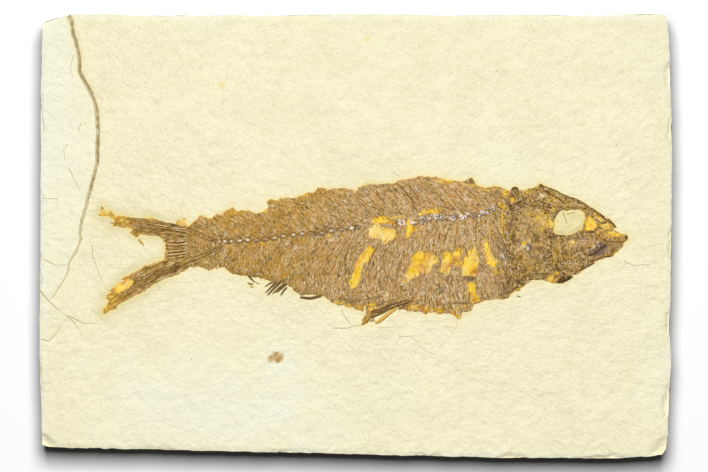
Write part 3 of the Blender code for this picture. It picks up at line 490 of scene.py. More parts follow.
MARKS: dict[Stain, Sequence[tuple[float, ...]]] = {
    Stain.DARK: (
        (43.9, 8.6, 1.5, 0.8, 0, 0.55), (45, 10.7, 1.7, 0.5, -38, 0.85), (38.8, 8.1, 2.4, 0.45, 30, 0.8),
        (37.4, 6.6, 1.2, 0.5, 20, 0.6), (37.3, -0.6, 1.7, 0.65, 90, 0.6), (41, -2.6, 1, 0.8, 0, 0.85),
        (34.5, -1.6, 2.6, 0.32, -62, 0.7), (35.6, -4.6, 2.1, 0.55, -66, 0.75),
        (53.4, -0.5, 1.7, 0.5, 0, 0.5), (57.3, -3.1, 3.2, 1.7, 35, 0.85), (44, -9.1, 2, 0.7, -4, 0.6),
        (49.5, -10.1, 2.4, 1, 17, 1), (48, -7.6, 2.6, 0.4, 0, 0.5), (38.5, -5.5, 1.8, 0.8, -10, 0.35),
        (57.6, 4, 2.2, 1, -38, 0.5), (64.1, -0.4, 0.8, 0.5, 90, 0.9), (61, -2.6, 2.2, 0.7, 35, 0.4),
        (52, 8.5, 2.8, 0.55, -22, 0.5), (55.5, 6.8, 1.7, 0.45, -35, 0.5), (60.8, 2.9, 1.2, 0.5, -45, 0.6),
        (17.4, 13.2, 1.9, 0.6, -20, 0.55), (27.3, 13, 0.9, 0.8, 0, 0.7), (37.7, 11.4, 0.9, 0.5, 0, 0.65),
        (24.3, -13.9, 1.7, 0.6, -65, 0.55), (24.9, -15.9, 2.5, 0.35, 0, 0.7), (26.8, -10, 1.9, 0.85, 0, 0.7),
        (20.8, -16.1, 2.6, 0.3, 2, 0.5), (11.3, -16.5, 1.7, 0.4, 30, 0.85), (8.2, -16.3, 2, 0.45, 18, 0.65),
        (-2.5, -14.7, 2.1, 0.26, 12, 0.7), (-1, -15.5, 2.6, 0.22, 15, 0.6), (3.8, -14.5, 3, 0.22, 12, 0.5),
        (5.4, -17.4, 2.2, 0.3, 22, 0.7), (20.5, -12.9, 0.7, 0.5, 0, 0.5), (54.8, -7.4, 2.6, 0.35, 32, 0.4),
        (57.4, 4.4, 1.2, 0.22, -40, 0.9), (58.6, 3.3, 0.9, 0.2, 20, 0.8), (56.2, 5.4, 0.9, 0.25, -30, 0.8),
        (59.8, 2.6, 0.8, 0.22, -30, 0.8), (60.5, 3.4, 0.6, 0.3, -45, 0.9), (33.6, 10.6, 1.2, 0.3, -50, 0.6),
        (33.8, -9.6, 1.6, 0.5, 20, 0.35), (38, -12.1, 2, 0.3, 35, 0.5), (35.6, -14.4, 1.3, 0.4, 5, 0.7),
    ),
    Stain.PALE: (
        (44, 9.6, 0.8, 0.7, 0, 0.9), (39.6, -2.4, 0.9, 0.4, 10, 0.6), (40.7, -2.9, 0.35, 0.6, 0, 0.8),
        (34.9, -5, 1.5, 0.22, -68, 0.9), (56.6, -2.2, 1.5, 0.22, 50, 0.8), (57.4, 3.9, 1.1, 0.45, -30, 0.8),
        (24.8, -14.2, 1.3, 0.24, -62, 0.95), (18.5, -14.8, 0.9, 0.25, -50, 0.8),
        (7.2, -14, 0.5, 1.2, 0, 0.5), (29.6, -11.6, 0.5, 1.2, 15, 0.45), (2.9, -18.4, 1.2, 0.3, 15, 0.5),
        (46.2, 3.8, 0.4, 1.8, -8, 0.55), (-20, 7.4, 1, 0.4, 0, 0.4), (18.4, 12.4, 1.4, 0.7, -20, 0.7),
        (22.8, 11.8, 1, 0.35, -30, 0.5), (14.8, 10.9, 1.6, 0.25, -55, 0.5),
    ),
    Stain.AMBER: (
        (-55.2, 3.4, 3.2, 0.8, -12, 0.55), (-57.6, -14.6, 2.2, 0.8, 35, 0.45),
        (3.6, -16.3, 1.4, 0.5, -5, 0.9), (15.6, -17, 5, 0.5, -4, 0.8), (-3, -16, 2.8, 0.5, -12, 0.7),
        (58, 4, 2.6, 0.6, -40, 0.7), (23.8, -18.7, 1.2, 0.6, -20, 0.9), (44.2, 4.8, 2.6, 1.7, 20, 0.45),
        (46, 2.9, 1.4, 1.2, 0, 0.8), (46.6, 6.3, 1.5, 0.8, 50, 0.6), (41.2, 5.2, 1.2, 0.8, 0, 0.45),
        (46.8, 8.4, 2.2, 0.9, -25, 0.55), (51.3, -1.4, 0.9, 0.6, 20, 0.95), (56.2, -2.2, 0.6, 0.5, 0, 0.7),
        (46.4, -10.2, 1.5, 1.1, 0, 1), (47.6, -8.6, 0.8, 0.5, 0, 0.7), (56, 2.6, 1.6, 1.1, 0, 0.9),
        (59, 2.6, 1.9, 1, -20, 0.8), (61.3, 0.5, 2.2, 0.6, -12, 1), (54.3, 4, 2.5, 0.45, 98, 0.8),
        (50.3, 7.3, 2.4, 0.35, -3, 0.45), (22, 13.2, 2.3, 0.5, -8, 0.85), (35.4, 10.4, 0.9, 0.7, 0, 0.9),
        (37, 8.7, 0.8, 0.6, 0, 0.9), (34.6, 7.2, 1.6, 0.8, -35, 0.8), (35, 4.7, 0.8, 0.8, 0, 0.75),
        (7.6, 4.4, 4.2, 0.35, 2, 0.85), (34.6, 2.6, 2.4, 0.9, 85, 0.45), (16.8, -17.6, 0.7, 0.6, 90, 0.85),
        (19.6, -17.5, 1.3, 0.8, 0, 0.9), (23.3, -18, 1, 0.7, 80, 0.85), (24.2, -19, 0.7, 0.6, 0, 0.9),
        (3.6, -17, 1.5, 0.7, 10, 0.95), (0.7, -16.7, 0.9, 0.6, 0, 0.7), (-58.3, 4.8, 1.8, 0.5, -10, 0.6),
        (-55.6, 4.3, 2.4, 0.5, -5, 0.5), (-57.6, -15.6, 2.8, 0.7, 52, 0.45), (-49, 4, 1.4, 0.3, 0, 0.6),
        (-21.6, 6, 0.8, 0.5, 0, 0.6), (-29.5, 5.8, 1.6, 0.6, 0, 0.5), (-12, 9.8, 1, 0.4, 0, 0.6),
        (19.2, 13, 2, 0.5, -10, 0.6), (31, 11, 1.2, 0.4, 0, 0.5), (26.5, 12.2, 2.4, 0.4, -12, 0.5),
        (33.4, 11.2, 0.8, 0.4, 0, 0.6), (40.5, 10.4, 1.6, 0.5, 5, 0.5), (57.5, 1, 1.5, 0.4, 20, 0.6),
        (28.9, -15.2, 0.8, 0.4, 0, 0.7), (24.8, -17, 1.4, 0.35, 0, 0.6), (15.2, -17.2, 0.7, 0.4, 0, 0.8),
        (6.6, -16.9, 1, 0.3, 15, 0.6), (31.7, 1.4, 0.5, 1.6, 5, 0.4), (14.9, 1.6, 0.9, 0.4, 10, 0.5),
        (33.6, -8.4, 1.4, 0.8, 0, 0.5), (13, -17.2, 1.4, 0.4, 0, 0.5), (61.3, -4, 1.2, 0.3, 35, 0.5),
        (-54, 2, 1.4, 0.5, 0, 0.6), (29, 12, 1.8, 0.5, -20, 0.4),
    ),
    Stain.COOL: (
        (57.3, -3.1, 3.4, 2, 35, 1), (35, -3, 3.6, 0.8, -62, 0.8), (39.4, -1.6, 1.4, 1.4, 0, 0.8),
        (44.2, 9.2, 1.5, 1, 0, 0.8), (58.6, 3.6, 2.4, 0.7, -40, 0.8), (20.6, -12.6, 3, 1.6, -40, 0.9),
        (54.5, -0.9, 3.2, 1.1, -8, 1), (38.6, 7, 1.4, 0.5, 35, 1), (35.3, -4.9, 2.4, 0.8, -70, 1),
        (52, -4, 3, 0.8, -5, 0.6), (40.6, -2.6, 1.9, 1.3, 0, 1), (57.8, 4.2, 1.4, 0.7, -30, 0.9),
        (45, -5.2, 2, 1, 0, 0.5), (-10.5, -11.8, 5.5, 1.6, -8, 0.8), (4, -10.5, 1.6, 3.5, 0, 0.7),
        (9.5, -12, 4, 2, 0, 0.8), (18, -12.5, 6, 1.8, 0, 0.9), (15, 9, 7, 1.6, -25, 0.5),
    ),
    Stain.OCHRE: (
        (14.5, -17.1, 3, 0.6, 0, 0.9), (-5.2, -15.1, 1.2, 0.8, 0, 0.9), (-33, -4.6, 4, 1.8, 0, 0.6),
        (-22, -4.4, 5, 2, 5, 0.7), (-30.5, 4.4, 2.8, 1.3, 0, 0.8), (-14.5, 8.4, 3, 0.8, 4, 0.7),
        (-12.4, -4.6, 1, 1.2, 0, 0.8), (-18.8, -7.2, 1, 1.4, 0, 0.7), (-6, -8.5, 0.9, 2.2, 5, 0.7),
        (-13.6, -10, 0.7, 2.2, 0, 0.7), (-6.8, 9.8, 2.6, 0.8, 0, 0.5), (-26, -6.5, 2.6, 0.9, -10, 0.6),
        (-46, -6.5, 3, 0.7, 18, 0.5),
    ),
}


def marked(stain: Stain, x: Array, y: Array, rough: Array) -> Array:
    """How strongly a stain's marks show at each point.

    Args:
        stain: which marks.
        x, y: where.
        rough: how much the marks' edges stray.

    Returns:
        The strongest mark at each point, 0 where there is none.
    """
    total = np.zeros(np.shape(x))
    for row in MARKS[stain]:
        total = np.maximum(total, Mark(*row).share(x, y, rough))
    return total


# Meshes.


@dataclass
class Sheet:
    """A sheet of points joined by four-sided faces, in millimetres, with values painted on its points.

    Args:
        x, y, z: the points.
        faces: four point numbers a row, anticlockwise from above.
        paint: named values for each point, one number or three.
    """

    x: Array
    y: Array
    z: Array
    faces: Array
    paint: dict[str, Array] = field(default_factory=dict)

    def rim(self) -> Array:
        """The sheet's border, as pairs of point numbers with the sheet on their left."""
        start = self.faces.ravel()
        end = np.roll(self.faces, -1, axis=1).ravel()
        count = len(self.x)
        border = ~np.isin(start * count + end, end * count + start)
        return np.stack([start[border], end[border]], axis=1)

    def closed(self, floor: float | Array) -> "Sheet":
        """The sheet as a thick piece with a wall and an underside.

        Args:
            floor: the underside's height.

        Returns:
            The closed sheet, with the same paint underneath as on top.
        """
        count = len(self.x)
        rim = self.rim()
        walls = np.stack([rim[:, 1], rim[:, 0], rim[:, 0] + count, rim[:, 1] + count], axis=1)
        under = self.faces[:, ::-1] + count
        return Sheet(
            np.tile(self.x, 2),
            np.tile(self.y, 2),
            np.concatenate([self.z, np.broadcast_to(floor, self.z.shape)]),
            np.concatenate([self.faces, walls, under]),
            {name: np.concatenate([value, value]) for name, value in self.paint.items()},
        )

    def to_object(self, name: str, material: Material | None = None) -> Piece:
        """The sheet as a mesh object.

        Args:
            name: the object's name.
            material: its finish, if it keeps one.

        Returns:
            The object, at the origin, in metres.
        """
        mesh = bpy.data.meshes.new(name)
        mesh.vertices.add(len(self.x))
        mesh.vertices.foreach_set("co", (np.stack([self.x, self.y, self.z], axis=1) * MM).ravel())
        mesh.loops.add(self.faces.size)
        mesh.loops.foreach_set("vertex_index", self.faces.ravel())
        mesh.polygons.add(len(self.faces))
        mesh.polygons.foreach_set("loop_start", np.arange(len(self.faces)) * 4)
        mesh.update(calc_edges=True)
        paint_mesh(mesh, self.paint)
        mesh.shade_smooth()
        mesh.set_sharp_from_angle(angle=math.radians(55))
        if material:
            mesh.materials.append(material)
        return placed(name, mesh)


def placed(name: str, data: bpy.types.ID) -> Piece:
    """A new object at the origin that shows a mesh, light or camera."""
    made = bpy.data.objects.new(name, data)
    bpy.context.scene.collection.objects.link(made)
    return made


def paint_mesh(mesh: bpy.types.Mesh, paint: dict[str, Array]) -> None:
    """Stores values on a mesh's points.

    Args:
        mesh: the mesh.
        paint: named values for each point, one number or three.
    """
    for name, values in paint.items():
        wide = values.ndim == 2
        layer = mesh.attributes.new(name, "FLOAT_VECTOR" if wide else "FLOAT", "POINT")
        layer.data.foreach_set("vector" if wide else "value", values.astype(np.float32).ravel())


def cells(number: Array) -> Array:
    """The four point numbers round each cell of a numbered grid."""
    return np.stack([number[:-1, :-1], number[:-1, 1:], number[1:, 1:], number[1:, :-1]], axis=-1)


def drawn_sheet(away: Callable[[Array, Array], Array], box: Box, step: float) -> Sheet:
    """A flat grid cut to a drawn shape, with its border points moved onto the shape's edge.

    Args:
        away: gives the distance from the edge, negative inside.
        box: the grid's lowest x and y and highest x and y.
        step: the grid's spacing.

    Returns:
        The sheet at height 0.
    """
    x, y = np.meshgrid(np.arange(box[0], box[2], step), np.arange(box[1], box[3], step))
    reach = away(x, y)
    slope_y, slope_x = np.gradient(reach, step)
    steep = slope_x**2 + slope_y**2 + 0.05
    inside = reach < 0
    cell = inside[:-1, :-1] | inside[1:, :-1] | inside[:-1, 1:] | inside[1:, 1:]
    used = np.zeros(x.shape, bool)
    for rows in (slice(None, -1), slice(1, None)):
        for columns in (slice(None, -1), slice(1, None)):
            used[rows, columns] |= cell
    number = np.cumsum(used).reshape(used.shape) - 1
    pull = np.where(inside, 0.0, reach / steep)
    x, y = x - pull * slope_x, y - pull * slope_y
    return Sheet(x[used], y[used], np.zeros(int(used.sum())), cells(number)[cell])


def strands_object(name: str, strands: Iterable[tuple[Array, Array | float, Array | float]]) -> Piece:
    """Open lines as an edge mesh, for the strand tree to thicken.

    Args:
        name: the object's name.
        strands: each line's points in millimetres, and its width and tint, at each point or all along.

    Returns:
        The object, with "girth" and "tint" painted on its points.
    """
    places, edges, girths, tints = [], [], [], []
    for points, widths, tint in strands:
        first = len(places)
        places.extend(np.asarray(points) * MM)
        edges.extend((first + i, first + i + 1) for i in range(len(points) - 1))
        girths.extend(np.broadcast_to(widths, len(points)) * MM / 2)
        tints.extend(np.broadcast_to(tint, len(points)))
    mesh = bpy.data.meshes.new(name)
    mesh.from_pydata(places, edges, [])
    paint_mesh(mesh, {"girth": np.array(girths), "tint": np.array(tints)})
    return placed(name, mesh)


# Node trees.


class Bench:
    """Adds nodes to a tree and wires them up."""

    def __init__(self, tree: NodeTree) -> None:
        """Args: tree: the tree to work on."""
        self.tree = tree

    def add(self, kind: str, inputs: dict | None = None, **settings: object) -> Node:
        """Adds one node.

        Args:
            kind: the node's type.
            inputs: a value or another node's output for each input, by name or place.
            settings: the node's own properties.

        Returns:
            The node.
        """
        node = self.tree.nodes.new(kind)
        for name, value in settings.items():
            setattr(node, name, value)
        for key, value in (inputs or {}).items():
            if isinstance(value, Socket):
                self.tree.links.new(value, node.inputs[key])
            else:
                node.inputs[key].default_value = value
        return node

    def math(self, operation: str, *values: object) -> Socket:
        """One sum: the operation's name and its values or sockets."""
        return self.add("ShaderNodeMath", dict(enumerate(values)), operation=operation).outputs[0]

    def times(self, one: object, other: object) -> Socket:
        """One value or socket times another."""
        return self.math("MULTIPLY", one, other)

    def blend(self, share: object, under: object, over: object) -> Socket:
        """One colour with a share of another laid over it."""
        return self.add("ShaderNodeMix", {0: share, 6: under, 7: over}, data_type="RGBA").outputs[2]

    def band(self, value: object, low: float, high: float) -> Socket:
        """A value stretched so that low becomes 0 and high becomes 1, and clamped."""
        return self.add("ShaderNodeMapRange", {"Value": value, "From Min": low, "From Max": high}).outputs[0]

    def noise(self, vector: object, scale: float, detail: float = 3.0, rough: float = 0.55) -> Socket:
        """A noise texture's value at a vector."""
        inputs = {"Vector": vector, "Scale": scale, "Detail": detail, "Roughness": rough}
        return self.add("ShaderNodeTexNoise", inputs).outputs[0]

    def stretch(self, vector: object, *scale: float) -> Socket:
        """A vector scaled along each axis."""
        return self.add("ShaderNodeVectorMath", {0: vector, 1: scale}, operation="MULTIPLY").outputs[0]

    def painted(self, name: str, output: str = "Fac") -> Socket:
        """A value painted on the mesh."""
        return self.add("ShaderNodeAttribute", attribute_name=name).outputs[output]


def shader_group(name: str, vector: str, draw: Callable[[Bench, Socket], dict]) -> NodeTree:
    """Makes a shader node group that turns a vector into values.

    Args:
        name: the group's name.
        vector: its input's name.
        draw: fills the group, given its bench and vector, and returns a socket for each output.

    Returns:
        The group.
    """
    tree = bpy.data.node_groups.new(name, "ShaderNodeTree")
    tree.interface.new_socket(vector, in_out="INPUT", socket_type="NodeSocketVector")
    bench = Bench(tree)
    results = draw(bench, tree.nodes.new("NodeGroupInput").outputs[0])
    for socket in results:
        tree.interface.new_socket(socket, in_out="OUTPUT", socket_type="NodeSocketFloat")
    bench.add("NodeGroupOutput", results)
    return tree


def draw_mottle(bench: Bench, place: Socket) -> dict:
    """Fills the mottle group: cloudy patches, fine grain and small pits, over a place in millimetres."""
    clouds = bench.noise(place, 0.09, 4.0, 0.6)
    grain = bench.noise(place, 1.7, 3.0, 0.65)
    wrinkle = bench.noise(place, 0.42, 5.0, 0.62)
    swing = bench.math("ABSOLUTE", bench.math("SUBTRACT", bench.noise(place, 0.3, 3.0, 0.5), 0.5))
    folds = bench.math("SUBTRACT", 1.0, bench.times(swing, 4.0))
    return {"Clouds": clouds, "Grain": grain, "Wrinkle": wrinkle, "Folds": folds}


def draw_hatch(bench: Bench, flow: Socket) -> dict:
    """Fills the hatch group: streaks that follow the ribs, with dark threads and pale glints."""
    coarse = bench.noise(bench.stretch(flow, 1.15, 0.16, 1.0), 1.0, 2.0, 0.5)
    fine = bench.noise(bench.stretch(flow, 2.8, 1.15, 1.0), 1.0, 4.0, 0.65)
    glint = bench.noise(bench.stretch(flow, 2.6, 1.1, 1.0), 1.0, 1.0, 0.5)
    return {
        "Coarse": bench.band(coarse, 0.3, 0.7),
        "Fine": bench.band(fine, 0.28, 0.72),
        "Threads": bench.band(fine, 0.45, 0.28),
        "Glints": bench.band(glint, 0.6, 0.74),
    }


class TreeInput(Enum):
    """The kinds of input a Geometry Nodes tree can have."""

    GEOMETRY = "NodeSocketGeometry"
    NUMBER = "NodeSocketFloat"
    WHOLE = "NodeSocketInt"
    SIZES = "NodeSocketVector"
    PIECE = "NodeSocketObject"
    FINISH = "NodeSocketMaterial"


class LayingTree:
    """A Geometry Nodes tree with named inputs that turns an object into a plain mesh."""

    def __init__(self, name: str, inputs: dict[str, TreeInput]) -> None:
        """Makes the tree and its sockets.

        Args:
            name: the tree's name.
            inputs: each input's name and kind, after the geometry.
        """
        self.tree = bpy.data.node_groups.new(name, "GeometryNodeTree")
        face = self.tree.interface
        face.new_socket("Geometry", in_out="INPUT", socket_type=TreeInput.GEOMETRY.value)
        face.new_socket("Geometry", in_out="OUTPUT", socket_type=TreeInput.GEOMETRY.value)
        self.sockets = {}
        for socket, kind in inputs.items():
            self.sockets[socket] = face.new_socket(socket, in_out="INPUT", socket_type=kind.value).identifier
        self.bench = Bench(self.tree)
        self.given = self.tree.nodes.new("NodeGroupInput").outputs

    def named(self, name: str, kind: str = "FLOAT") -> Socket:
        """A value painted on the geometry."""
        return self.bench.add("GeometryNodeInputNamedAttribute", {"Name": name}, data_type=kind).outputs[0]

    def finish(self, geometry: Socket) -> None:
        """Ends the tree with its finish and real geometry.

        Args:
            geometry: what the tree has made.
        """
        real = self.bench.add("GeometryNodeRealizeInstances", {0: geometry}).outputs[0]
        dressing = {"Geometry": real, "Material": self.given["Finish"]}
        dressed = self.bench.add("GeometryNodeSetMaterial", dressing)
        self.bench.add("NodeGroupOutput", {0: dressed.outputs[0]})

    def lay(self, source: Piece, name: str, settings: dict[str, object]) -> Piece:
        """Runs the tree on an object.

        Args:
            source: the object, which is used up.
            name: the new object's name.
            settings: a value for each named input.

        Returns:
            The plain mesh object.
        """
        modifier = source.modifiers.new(name, "NODES")
        modifier.node_group = self.tree
        for socket, value in settings.items():
            modifier[self.sockets[socket]] = value
        bpy.context.view_layer.update()
        graph = bpy.context.evaluated_depsgraph_get()
        mesh = bpy.data.meshes.new_from_object(
            source.evaluated_get(graph), preserve_all_data_layers=True, depsgraph=graph)
        mesh.name = name
        mesh.shade_smooth()
        source.modifiers.remove(modifier)
        bpy.data.objects.remove(source)
        return placed(name, mesh)


class StrandTree(LayingTree):
    """Thickens lines into round strands that waver a little."""

    def __init__(self) -> None:
        """Draws the tree."""
        super().__init__("strands", {"Spacing": TreeInput.NUMBER, "Sides": TreeInput.WHOLE,
                                     "Waver": TreeInput.NUMBER, "Finish": TreeInput.FINISH})
        add, given = self.bench.add, self.given
        curve = add("GeometryNodeMeshToCurve", {0: given["Geometry"]}).outputs[0]
        even = add("GeometryNodeResampleCurve", {"Curve": curve, "Length": given["Spacing"]},
                   mode="LENGTH").outputs[0]
        place = add("GeometryNodeInputPosition").outputs[0]
        random = add("ShaderNodeTexNoise", {"Vector": place, "Scale": 900.0, "Detail": 2.0}).outputs["Color"]
        centred = add("ShaderNodeVectorMath", {0: random, 1: (0.5, 0.5, 0.5)},
                      operation="SUBTRACT").outputs[0]
        size = add("ShaderNodeVectorMath", {0: centred, "Scale": given["Waver"]},
                   operation="SCALE").outputs[0]
        flat = self.bench.stretch(size, 1.0, 1.0, 0.3)
        moved = add("GeometryNodeSetPosition", {"Geometry": even, "Offset": flat}).outputs[0]
        ring = add("GeometryNodeCurvePrimitiveCircle",
                   {"Resolution": given["Sides"], "Radius": 1.0}).outputs[0]
        tube = add("GeometryNodeCurveToMesh", {"Curve": moved, "Profile Curve": ring, "Fill Caps": True,
                                               "Scale": self.named("girth")})
        self.finish(tube.outputs[0])


class ScatterTree(LayingTree):
    """Strews small slivers or crumbs over a surface, along a painted direction."""

    def __init__(self) -> None:
        """Draws the tree."""
        super().__init__("scatter", {"Density": TreeInput.NUMBER, "Seed": TreeInput.WHOLE,
                                     "Smallest": TreeInput.SIZES, "Largest": TreeInput.SIZES,
                                     "Turn": TreeInput.NUMBER, "Sink": TreeInput.NUMBER,
                                     "Finish": TreeInput.FINISH})
        add, given = self.bench.add, self.given
        strewn = add("GeometryNodeDistributePointsOnFaces", {
            "Mesh": given["Geometry"], "Seed": given["Seed"],
            "Density": self.bench.times(given["Density"], self.named("strew")),
        })
        crumb = add("GeometryNodeMeshIcoSphere", {"Radius": 0.5, "Subdivisions": 1}).outputs[0]
        aim = add("FunctionNodeAlignRotationToVector", {"Vector": self.named("lie", "FLOAT_VECTOR")},
                  axis="X")
        spread = self.random(0.0, given["Turn"], 1)
        twist = add("ShaderNodeCombineXYZ", {"Z": spread}).outputs[0]
        turned = add("FunctionNodeRotateRotation",
                     {"Rotation": aim.outputs[0], "Rotate By": twist}).outputs[0]
        size = add("FunctionNodeRandomValue", {0: given["Smallest"], 1: given["Largest"],
                                               "Seed": self.seeded(2)}, data_type="FLOAT_VECTOR").outputs[0]
        laid = add("GeometryNodeInstanceOnPoints", {"Points": strewn.outputs[0], "Instance": crumb,
                                                    "Rotation": turned, "Scale": size}).outputs[0]
        sunk = add("GeometryNodeTranslateInstances", {
            "Instances": laid, "Local Space": False,
            "Translation": add("ShaderNodeCombineXYZ", {"Z": given["Sink"]}).outputs[0]}).outputs[0]
        tinted = add("GeometryNodeStoreNamedAttribute", {"Geometry": sunk, "Name": "tint",
                                                         "Value": self.random(0.0, 1.0, 3)},
                     data_type="FLOAT", domain="INSTANCE").outputs[0]
        self.finish(tinted)

    def seeded(self, step: int) -> Socket:
        """The tree's seed moved on by a step, so that each draw differs."""
        return self.bench.math("ADD", self.given["Seed"], float(step))

    def random(self, low: object, high: object, step: int) -> Socket:
        """A random number for each point."""
        inputs = {2: low, 3: high, "Seed": self.seeded(step)}
        return self.bench.add("FunctionNodeRandomValue", inputs, data_type="FLOAT").outputs[1]


class BeadTree(LayingTree):
    """Sets one piece at each point of a line, turned and sized as painted."""

    def __init__(self) -> None:
        """Draws the tree."""
        super().__init__("beads", {"Piece": TreeInput.PIECE, "Seed": TreeInput.WHOLE,
                                   "Finish": TreeInput.FINISH})
        add, given = self.bench.add, self.given
        piece = add("GeometryNodeObjectInfo", {"Object": given["Piece"]}).outputs["Geometry"]
        turn = add("ShaderNodeCombineXYZ", {"Z": self.named("turn")}).outputs[0]
        rotation = add("FunctionNodeEulerToRotation", {0: turn}).outputs[0]
        laid = add("GeometryNodeInstanceOnPoints", {
            "Points": given["Geometry"], "Instance": piece, "Rotation": rotation,
            "Scale": self.named("size")}).outputs[0]
        tint = add("FunctionNodeRandomValue", {2: 0.0, 3: 1.0, "Seed": given["Seed"]},
                   data_type="FLOAT").outputs[1]
        tinted = add("GeometryNodeStoreNamedAttribute", {"Geometry": laid, "Name": "tint", "Value": tint},
                     data_type="FLOAT", domain="INSTANCE").outputs[0]
        self.finish(tinted)


# Finishes.


@dataclass(frozen=True)
class SharedGroups:
    """The shader groups that several finishes use."""

    mottle: NodeTree
    hatch: NodeTree

    @classmethod
    def build(cls) -> "SharedGroups":
        """Makes the groups."""
        mottle = shader_group("stone mottle", "Place", draw_mottle)
        return cls(mottle, shader_group("rib hatch", "Flow", draw_hatch))


# Places from 0 to 1, each with its colour in display values.
Tones = Sequence[tuple[float, float, float, float]]


class Finish:
    """A material under construction: its bench, its shader and its place in millimetres."""

    def __init__(self, name: str, groups: SharedGroups, roughness: float) -> None:
        """Starts the material.

        Args:
            name: the material's name.
            groups: the shared shader groups.
            roughness: the surface's roughness.
        """
        self.material = bpy.data.materials.new(name)
        self.material.use_nodes = True
        self.bench = Bench(self.material.node_tree)
        self.shader = self.material.node_tree.nodes["Principled BSDF"]
        self.shader.inputs["Roughness"].default_value = roughness
        self.shader.inputs["Specular IOR Level"].default_value = 0.06
        place = self.bench.add("ShaderNodeTexCoord").outputs["Object"]
        self.place = self.bench.stretch(place, 1 / MM, 1 / MM, 1 / MM)
        self.mottle = self.bench.add("ShaderNodeGroup", {0: self.place}, node_tree=groups.mottle).outputs

    def ramp(self, value: Socket, tones: Tones) -> Socket:
        """Turns a value into a colour.

        Args:
            value: the value.
            tones: the colours that it runs through.

        Returns:
            The colour.
        """
        node = self.bench.add("ShaderNodeValToRGB", {0: value})
        marks = node.color_ramp.elements
        while len(marks) < len(tones):
            marks.new(0.5)
        for mark, (place, *_) in zip(marks, tones):
            mark.position = place
        for mark, (_, *color) in zip(marks, tones):
            mark.color = srgb(*color)
        return node.outputs[0]

    def weathered(self, color: Socket) -> Socket:
        """The colour drifting to a dusky olive in some patches, and to rust or rose in others."""
        bench = self.bench
        drift, rusty = bench.noise(self.place, 0.3, 5.0, 0.65), bench.noise(self.place, 0.24, 5.0, 0.7)
        color = bench.blend(bench.times(bench.band(drift, 0.52, 0.36), 0.38), color, srgb(122, 96, 48))
        color = bench.blend(bench.times(bench.band(rusty, 0.5, 0.66), 0.42), color, srgb(206, 146, 70))
        return bench.blend(bench.times(bench.band(drift, 0.54, 0.68), 0.22), color, srgb(208, 168, 148))

    def done(self, color: Socket, height: Socket, depth: float) -> Material:
        """Wires the colour and the fine relief to the shader.

        Args:
            color: the surface's colour.
            height: the fine relief, 0 to 1.
            depth: the relief's depth in millimetres.

        Returns:
            The material.
        """
        bump = self.bench.add("ShaderNodeBump", {"Height": height, "Distance": depth * MM})
        self.bench.tree.links.new(color, self.shader.inputs["Base Color"])
        self.bench.tree.links.new(bump.outputs[0], self.shader.inputs["Normal"])
        return self.material


@dataclass(frozen=True)
class StoneFinish:
    """Fine cream limestone with cloudy tone, yellowed round the fossil and greyed by the crack."""

    stone: tuple = srgb(242, 235, 198)
    shade: tuple = srgb(224, 214, 172)
    light: tuple = srgb(247, 243, 216)
    halo: tuple = srgb(236, 212, 120)
    haze: tuple = srgb(212, 204, 160)
    grey: tuple = srgb(240, 242, 222)
    stain: tuple = srgb(184, 136, 56)
    # worn: dark specks in the grain, and painted shade along the rim.
    worn: tuple = srgb(216, 208, 172)

    def build(self, groups: SharedGroups) -> Material:
        """Makes the material.

        Args:
            groups: the shared shader groups.

        Returns:
            The material.
        """
        finish = Finish("cream_limestone", groups, 0.9)
        bench, mottle = finish.bench, finish.mottle
        cloud = bench.times(bench.band(mottle["Clouds"], 0.4, 0.7), 0.4)
        color = bench.blend(cloud, self.stone, self.shade)
        color = bench.blend(bench.band(mottle["Grain"], 0.45, 0.75), color, self.light)
        dim = bench.times(bench.band(mottle["Wrinkle"], 0.5, 0.72), 0.4)
        color = bench.blend(dim, color, self.shade)
        color = bench.blend(bench.times(bench.band(mottle["Grain"], 0.4, 0.24), 0.5), color, self.worn)
        # grey, haze, halo and stain are the stone's own tones; worn also lays painted shade along the rim.
        stains = {"grey": self.grey, "worn": self.worn, "haze": self.haze, "halo": self.halo,
                  "stain": self.stain}
        for name, tone in stains.items():
            color = bench.blend(bench.painted(name), color, tone)
        height = bench.math("ADD", mottle["Wrinkle"], bench.times(mottle["Grain"], 0.5))
        height = bench.math("ADD", height, bench.times(mottle["Folds"], 0.3))
        return finish.done(color, height, 0.42)


